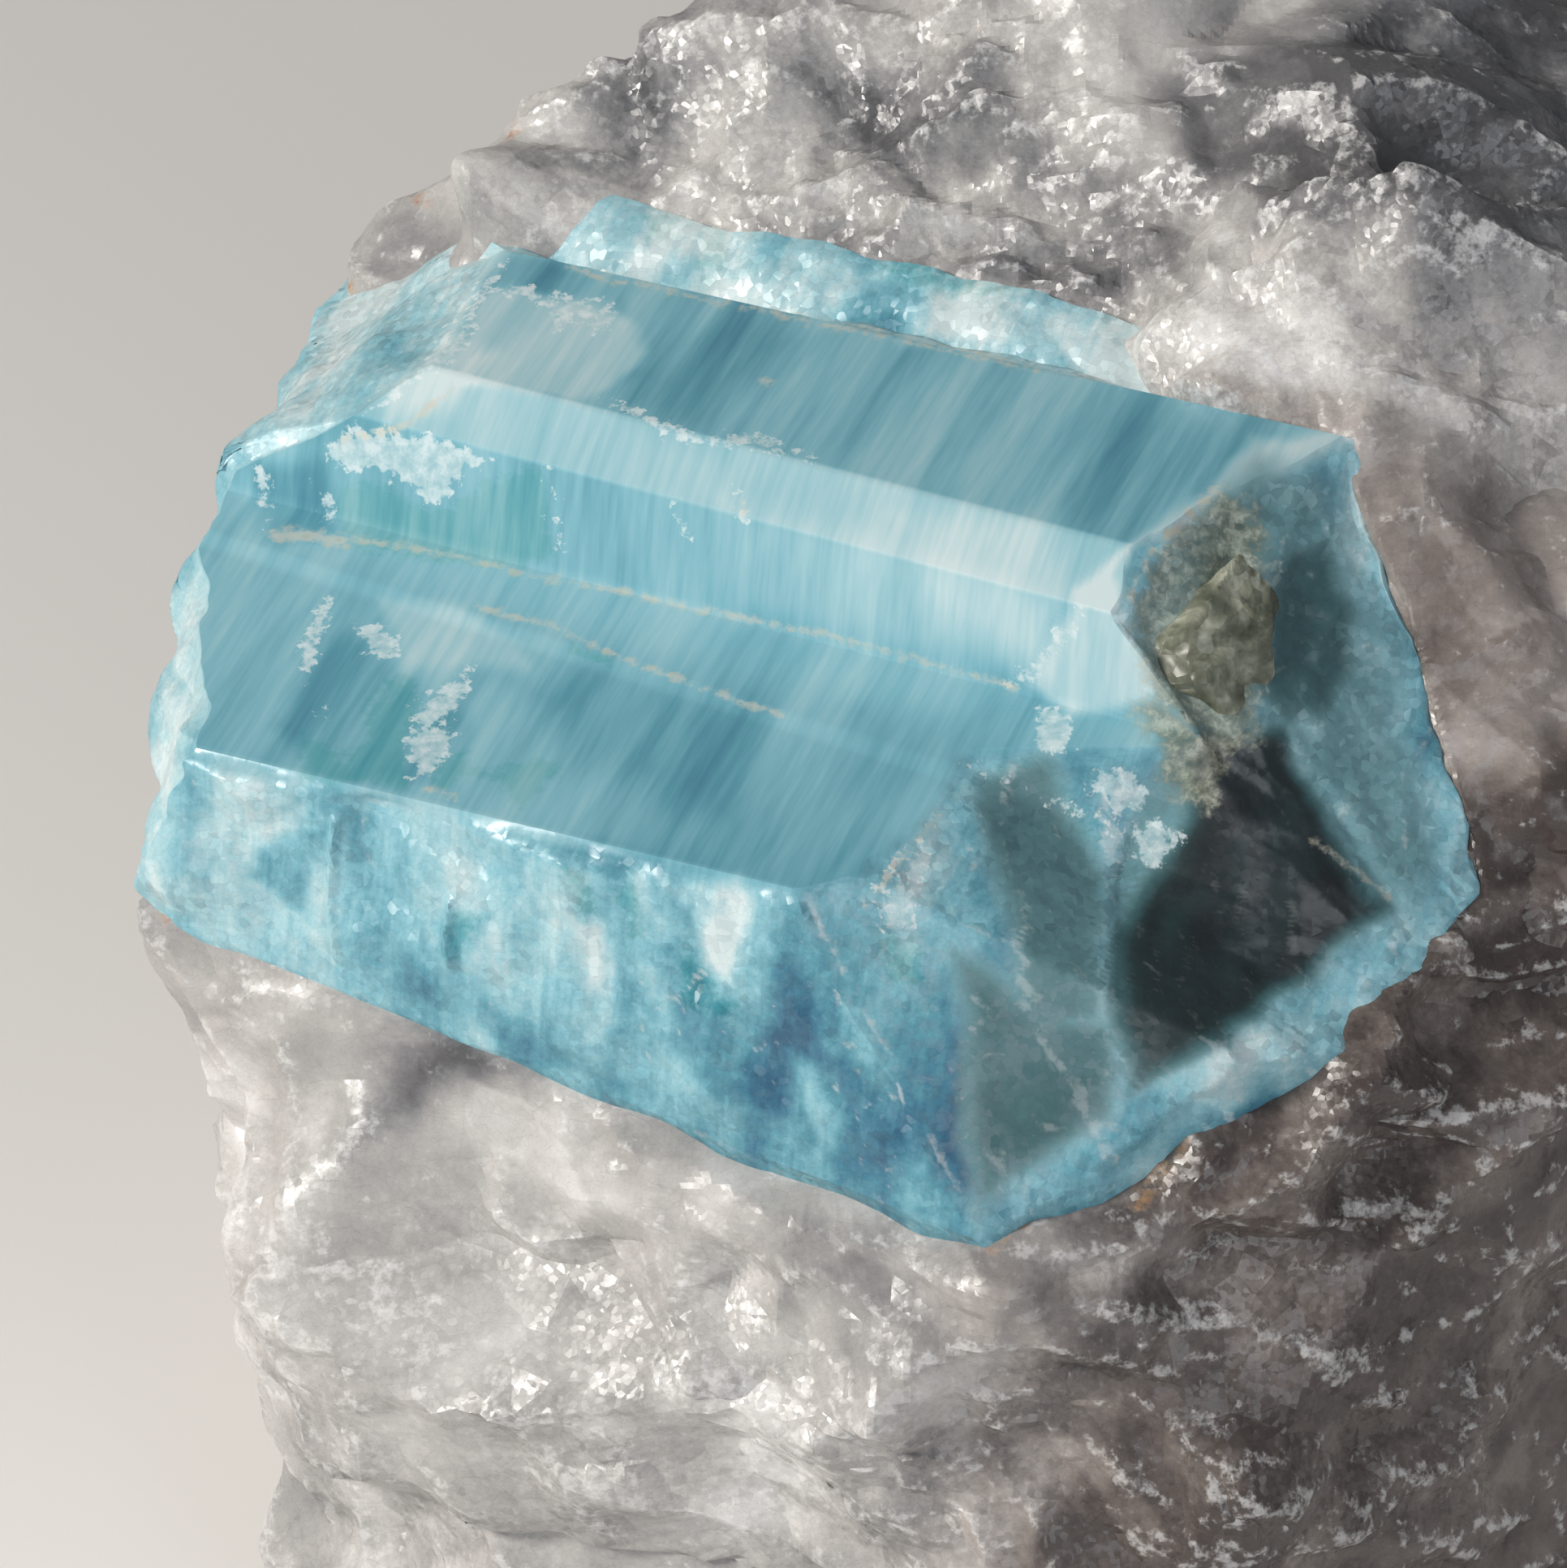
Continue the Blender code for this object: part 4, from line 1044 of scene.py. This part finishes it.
def tourmaline_material():
    """Indicolite, a blue tourmaline: a clouded, translucent crystal with smooth glassy growth faces
    and crumbling fractures. The eye sees fine streaks across the prism, and white where it is
    bruised or chipped, with a painted glint, and painted shade over the broken right end."""
    material, tree, shader = new_material("indicolite")
    where = object_mm(tree)
    uvw = add(tree, "Attribute", out="Vector", attribute_name="uvw")
    broken, tone, dim, ridge, teal, olive, white, cream = (
        add(tree, "Attribute", out="Fac", attribute_name=mark)
        for mark in ("broken", "tone", "dim", "ridge", "teal", "olive", "white", "cream"))

    # Fine streaks 0.2 mm wide over the mesh's own tone, and 0.3 mm crumbs on the fractures
    along = add(tree, "Mapping", {"Vector": uvw, "Scale": (5.0, 0.35, 0.5)})
    fine = add(tree, "TexNoise", {"Vector": along, "Scale": 1.0, "Detail": 2.0, "Roughness": 0.6})
    crumbs = add(tree, "TexNoise", {"Vector": where, "Scale": 3.2, "Detail": 3.0, "Roughness": 0.7})
    ragged = add(tree, "Math", (crumbs, 0.5), operation="SUBTRACT")
    streaks = add(tree, "Math", (fine, 0.3, -0.15), operation="MULTIPLY_ADD")
    crumbled = add(tree, "Math", (ragged, broken), operation="MULTIPLY")
    depth = add(tree, "Math", (streaks, tone), operation="ADD")
    depth = add(tree, "Math", (crumbled, 0.45, depth), operation="MULTIPLY_ADD")
    blue = add(tree, "ValToRGB", (depth,), stops=((0.0, "#d2e4e6"), (0.2, "#a8d0d8"), (0.4, "#82bbc9"),
                                                  (0.6, "#5d9dae"), (0.8, "#427e97"), (1.0, "#2c5f7c")))
    green = add(tree, "ValToRGB", (depth,), stops=((0.05, "#c3dad8"), (0.25, "#93c4c7"), (0.45, "#62a9b1"),
                                                   (0.65, "#33909f"), (0.85, "#1d6c78"), (1.0, "#134c55")))
    colour, _ = laid_over(tree, blue, green, teal, 2.2, ragged, (-0.25, 0.45), 0.75)

    # Painted shade: grey-green to near-black over the broken right end, which faces away from the light
    shade_depth = add(tree, "Math", (ragged, 0.12, dim), operation="MULTIPLY_ADD")
    shade_ramp = add(tree, "ValToRGB", (shade_depth,), stops=((0.1, "#98bac0"), (0.35, "#6b959c"), (0.6, "#42696e"),
                                                  (0.85, "#22383b"), (1.0, "#141f24")))
    colour, _ = laid_over(tree, colour, shade_ramp, dim, edge=(0.05, 0.45))

    # Olive dust of feldspar round the grain
    dust = add(tree, "ValToRGB", (crumbs,), stops=((0.35, "#5c6355"), (0.5, "#868a78"), (0.65, "#b7bba9")))
    colour, _ = laid_over(tree, colour, dust, olive, 2.4, ragged, (-0.3, 0.9), 0.75)

    # Bruised white with ragged edges 0.1 mm deep, and a painted glint on the upper riser
    pale = add(tree, "ValToRGB", (crumbs,), stops=((0.35, "#a9cbd2"), (0.5, "#c5dde0"), (0.65, "#eaf3f4")))
    colour, whitened = laid_over(tree, colour, pale, white, 2.6, ragged, (0.0, 0.3), WHITE_SHARE)

    # White along the edges of the fractures, less under the painted shade
    lit = add(tree, "Math", (dim, -0.35, 0.4), operation="MULTIPLY_ADD")
    lit = add(tree, "Math", (lit, broken), operation="MULTIPLY")
    colour, _ = laid_over(tree, colour, "#e4eceb", ridge, 2.0, ragged, (0.3, 0.9), lit)

    # Cream deposits in the creases
    deposit = add(tree, "ValToRGB", (crumbs,), stops=((0.35, "#cbd3ca"), (0.55, "#d8d4c2"), (0.7, "#cfc6ac")))
    colour, _ = laid_over(tree, colour, deposit, cream, 1.3, ragged, (-0.15, 0.3), 0.6)

    # Growth faces are glassy; fractures, bruises and the painted glint rougher
    whitened = add(tree, "Math", (whitened, 1.0 / WHITE_SHARE), operation="MULTIPLY")
    roughened = add(tree, "Math", (broken, whitened), operation="MAXIMUM")
    rough = add(tree, "Math", (roughened, 0.16, 0.24), operation="MULTIPLY_ADD")
    # Facets of 0.2 mm on the fractures, fainter under the painted shade
    faced = add(tree, "Math", (dim, -0.7, 1.0), operation="MULTIPLY_ADD")
    faced = add(tree, "Math", (faced, broken), operation="MULTIPLY")
    height = add(tree, "Math", (facets(tree, where, 0.2, 0.4), faced), operation="MULTIPLY")
    bump = add(tree, "Bump", {"Strength": 1.0, "Distance": MM, "Height": height})
    feed(tree, shader, {"Base Color": colour, "Roughness": rough, "IOR": 1.63, "Normal": bump})
    return material


def quartz_material():
    """Smoky and milky quartz, broken: glassy, granular fractures. The eye sees pale cloudy masses,
    darker clear zones, white veils and countless small glints, with painted shade under the crystal,
    in a cleft and at the lower right."""
    material, tree, shader = new_material("broken_quartz")
    where = object_mm(tree)
    grainy, level, ridge, warmth, stain = (
        add(tree, "Attribute", out="Fac", attribute_name=mark)
        for mark in ("grainy", "level", "ridge", "warmth", "stain"))
    patch = add(tree, "TexNoise", {"Vector": where, "Scale": 3.4, "Detail": 3.0, "Roughness": 0.7})
    ragged = add(tree, "Math", (patch, 0.5), operation="SUBTRACT")
    uneven = add(tree, "Math", (grainy, 0.35, 0.1), operation="MULTIPLY_ADD")
    pallor = add(tree, "Math", (ragged, uneven, level), operation="MULTIPLY_ADD")
    cool = add(tree, "ValToRGB", (pallor,), stops=((0.0, "#5f5f61"), (0.2, "#7d7d7f"), (0.4, "#9b9a9a"),
                                                   (0.6, "#b6b4b1"), (0.8, "#cfcdca"), (1.0, "#e8e7e5")))
    warm = add(tree, "ValToRGB", (pallor,), stops=((0.0, "#4f4744"), (0.2, "#6d645f"), (0.4, "#8c827c"),
                                                   (0.6, "#aca39e"), (0.8, "#cac4bf"), (1.0, "#e8e5e2")))
    colour, _ = laid_over(tree, cool, warm, warmth, edge=(-0.1, 0.9))
    colour, _ = laid_over(tree, colour, "#eeeeed", ridge, 4.0, ragged, (0.5, 1.5), 0.5)
    rust = add(tree, "ValToRGB", (patch,), stops=((0.35, "#d6c69a"), (0.5, "#c79a5b"), (0.65, "#a8643f")))
    colour, _ = laid_over(tree, colour, rust, stain, 2.2, ragged, (-0.2, 0.7), 0.75)
    rough = add(tree, "Math", (patch, 0.5, 0.08), operation="MULTIPLY_ADD")
    # Facets of 0.15 and 0.8 mm, plainest where the quartz is grainy
    small, large = facets(tree, where, 0.15, 0.32), facets(tree, where, 0.8, 0.3)
    both = add(tree, "Math", (small, large), operation="ADD")
    faced = add(tree, "Math", (grainy, 0.8, 0.2), operation="MULTIPLY_ADD")
    height = add(tree, "Math", (both, faced), operation="MULTIPLY")
    bump = add(tree, "Bump", {"Strength": 1.0, "Distance": MM, "Height": height})
    feed(tree, shader, {"Base Color": colour, "Roughness": rough, "IOR": 1.544, "Normal": bump})
    return material


def feldspar_material():
    """Feldspar, a broken grain: dull olive and beige cleavage faces. The eye sees pale patches with
    soft edges on a translucent green-brown ground."""
    material, tree, shader = new_material("feldspar")
    where = object_mm(tree)
    patch = add(tree, "TexNoise", {"Vector": where, "Scale": 1.1, "Detail": 4.0, "Roughness": 0.6,
                                   "Distortion": 0.4})
    colour = add(tree, "ValToRGB", (patch,), stops=((0.35, "#4f5344"), (0.48, "#6c7060"), (0.56, "#888b79"),
                                                    (0.68, "#b3b5a3")))
    # Facets of 0.3 mm
    bump = add(tree, "Bump", {"Strength": 1.0, "Distance": MM, "Height": facets(tree, where, 0.3, 0.5)})
    feed(tree, shader, {"Base Color": colour, "Roughness": 0.36, "IOR": 1.53, "Normal": bump})
    return material


# The pieces

tourmaline = build_crystal()
tourmaline.data.materials.append(tourmaline_material())

# The parts behind the crystal end inside the seat, on this plane
INSIDE = ((0.0, 0.0, 8.0), (0.0, 0.0, -1.0))
QUARTZ_PARTS = (
    ("quartz_seat", (0.0, -2.0, 13.0),
     (world_plane(FRONT_WALL), world_plane(SEAT_TOP), world_plane(SEAT_LEFT), SEAT_RIGHT)),
    ("quartz_rear", (0.0, 8.0, 20.0),
     (world_plane(REAR_SLOPE), world_plane(REAR_LEFT), *REAR_SIDES, INSIDE)),
    ("quartz_shoulder", (12.0, 0.0, 18.0), (world_plane(SHOULDER_SLOPE), *SHOULDER_SIDES, INSIDE)),
)
broken_quartz = quartz_material()
for name, centre, planes in QUARTZ_PARTS:
    piece = build_lump_part(name, centre, HULL + planes)
    piece.data.materials.append(broken_quartz)

feldspar = build_grain()
feldspar.data.materials.append(feldspar_material())


# Floor, light and camera

def build_floor():
    """A plain pale floor."""
    half = 2.0
    mesh = bpy.data.meshes.new("floor")
    corners = [(-half, -half, 0), (half, -half, 0), (half, half, 0), (-half, half, 0)]
    mesh.from_pydata(corners, [], [(0, 1, 2, 3)])
    floor = bpy.data.objects.new("floor", mesh)
    bpy.context.scene.collection.objects.link(floor)
    paint, tree, shader = new_material("floor")
    feed(tree, shader, {"Base Color": "#eceae7", "Roughness": 0.7})
    mesh.materials.append(paint)


LIT_PLACE = np.array([-3.0, 0.0, 22.0])


def area_light(name, at, size, power, colour):
    """A square soft light at a place in millimetres, turned to the specimen."""
    data = bpy.data.lights.new(name, "AREA")
    data.size = size * MM
    data.energy = power
    data.color = linear(colour)[:3]
    light = bpy.data.objects.new(name, data)
    light.location = np.asarray(at) * MM
    aim = LIT_PLACE - np.asarray(at)
    light.rotation_euler = Vector(aim).to_track_quat("-Z", "Y").to_euler()
    bpy.context.scene.collection.objects.link(light)


build_floor()
area_light("key", (-190.0, -80.0, 175.0), 60.0, 0.56, "#fffaf4")
area_light("fill", (150.0, -220.0, 120.0), 160.0, 0.2, "#f4f8ff")
bpy.context.scene.view_settings.view_transform = "Standard"
world = bpy.data.worlds.new("studio")
world.use_nodes = True
feed(world.node_tree, world.node_tree.nodes["Background"], {"Color": "#e8eaee", "Strength": 0.22})
bpy.context.scene.world = world

camera_data = bpy.data.cameras.new("camera")
camera_data.lens = CAMERA_LENS
camera_data.sensor_width = CAMERA_SENSOR
camera_data.clip_start = 0.01
camera = bpy.data.objects.new("camera", camera_data)
camera.location = (CAMERA_TARGET + CAMERA_FAR * SIGHT) * MM
camera.rotation_euler = (math.pi / 2 - TILT, 0.0, 0.0)
bpy.context.scene.collection.objects.link(camera)
bpy.context.scene.camera = camera
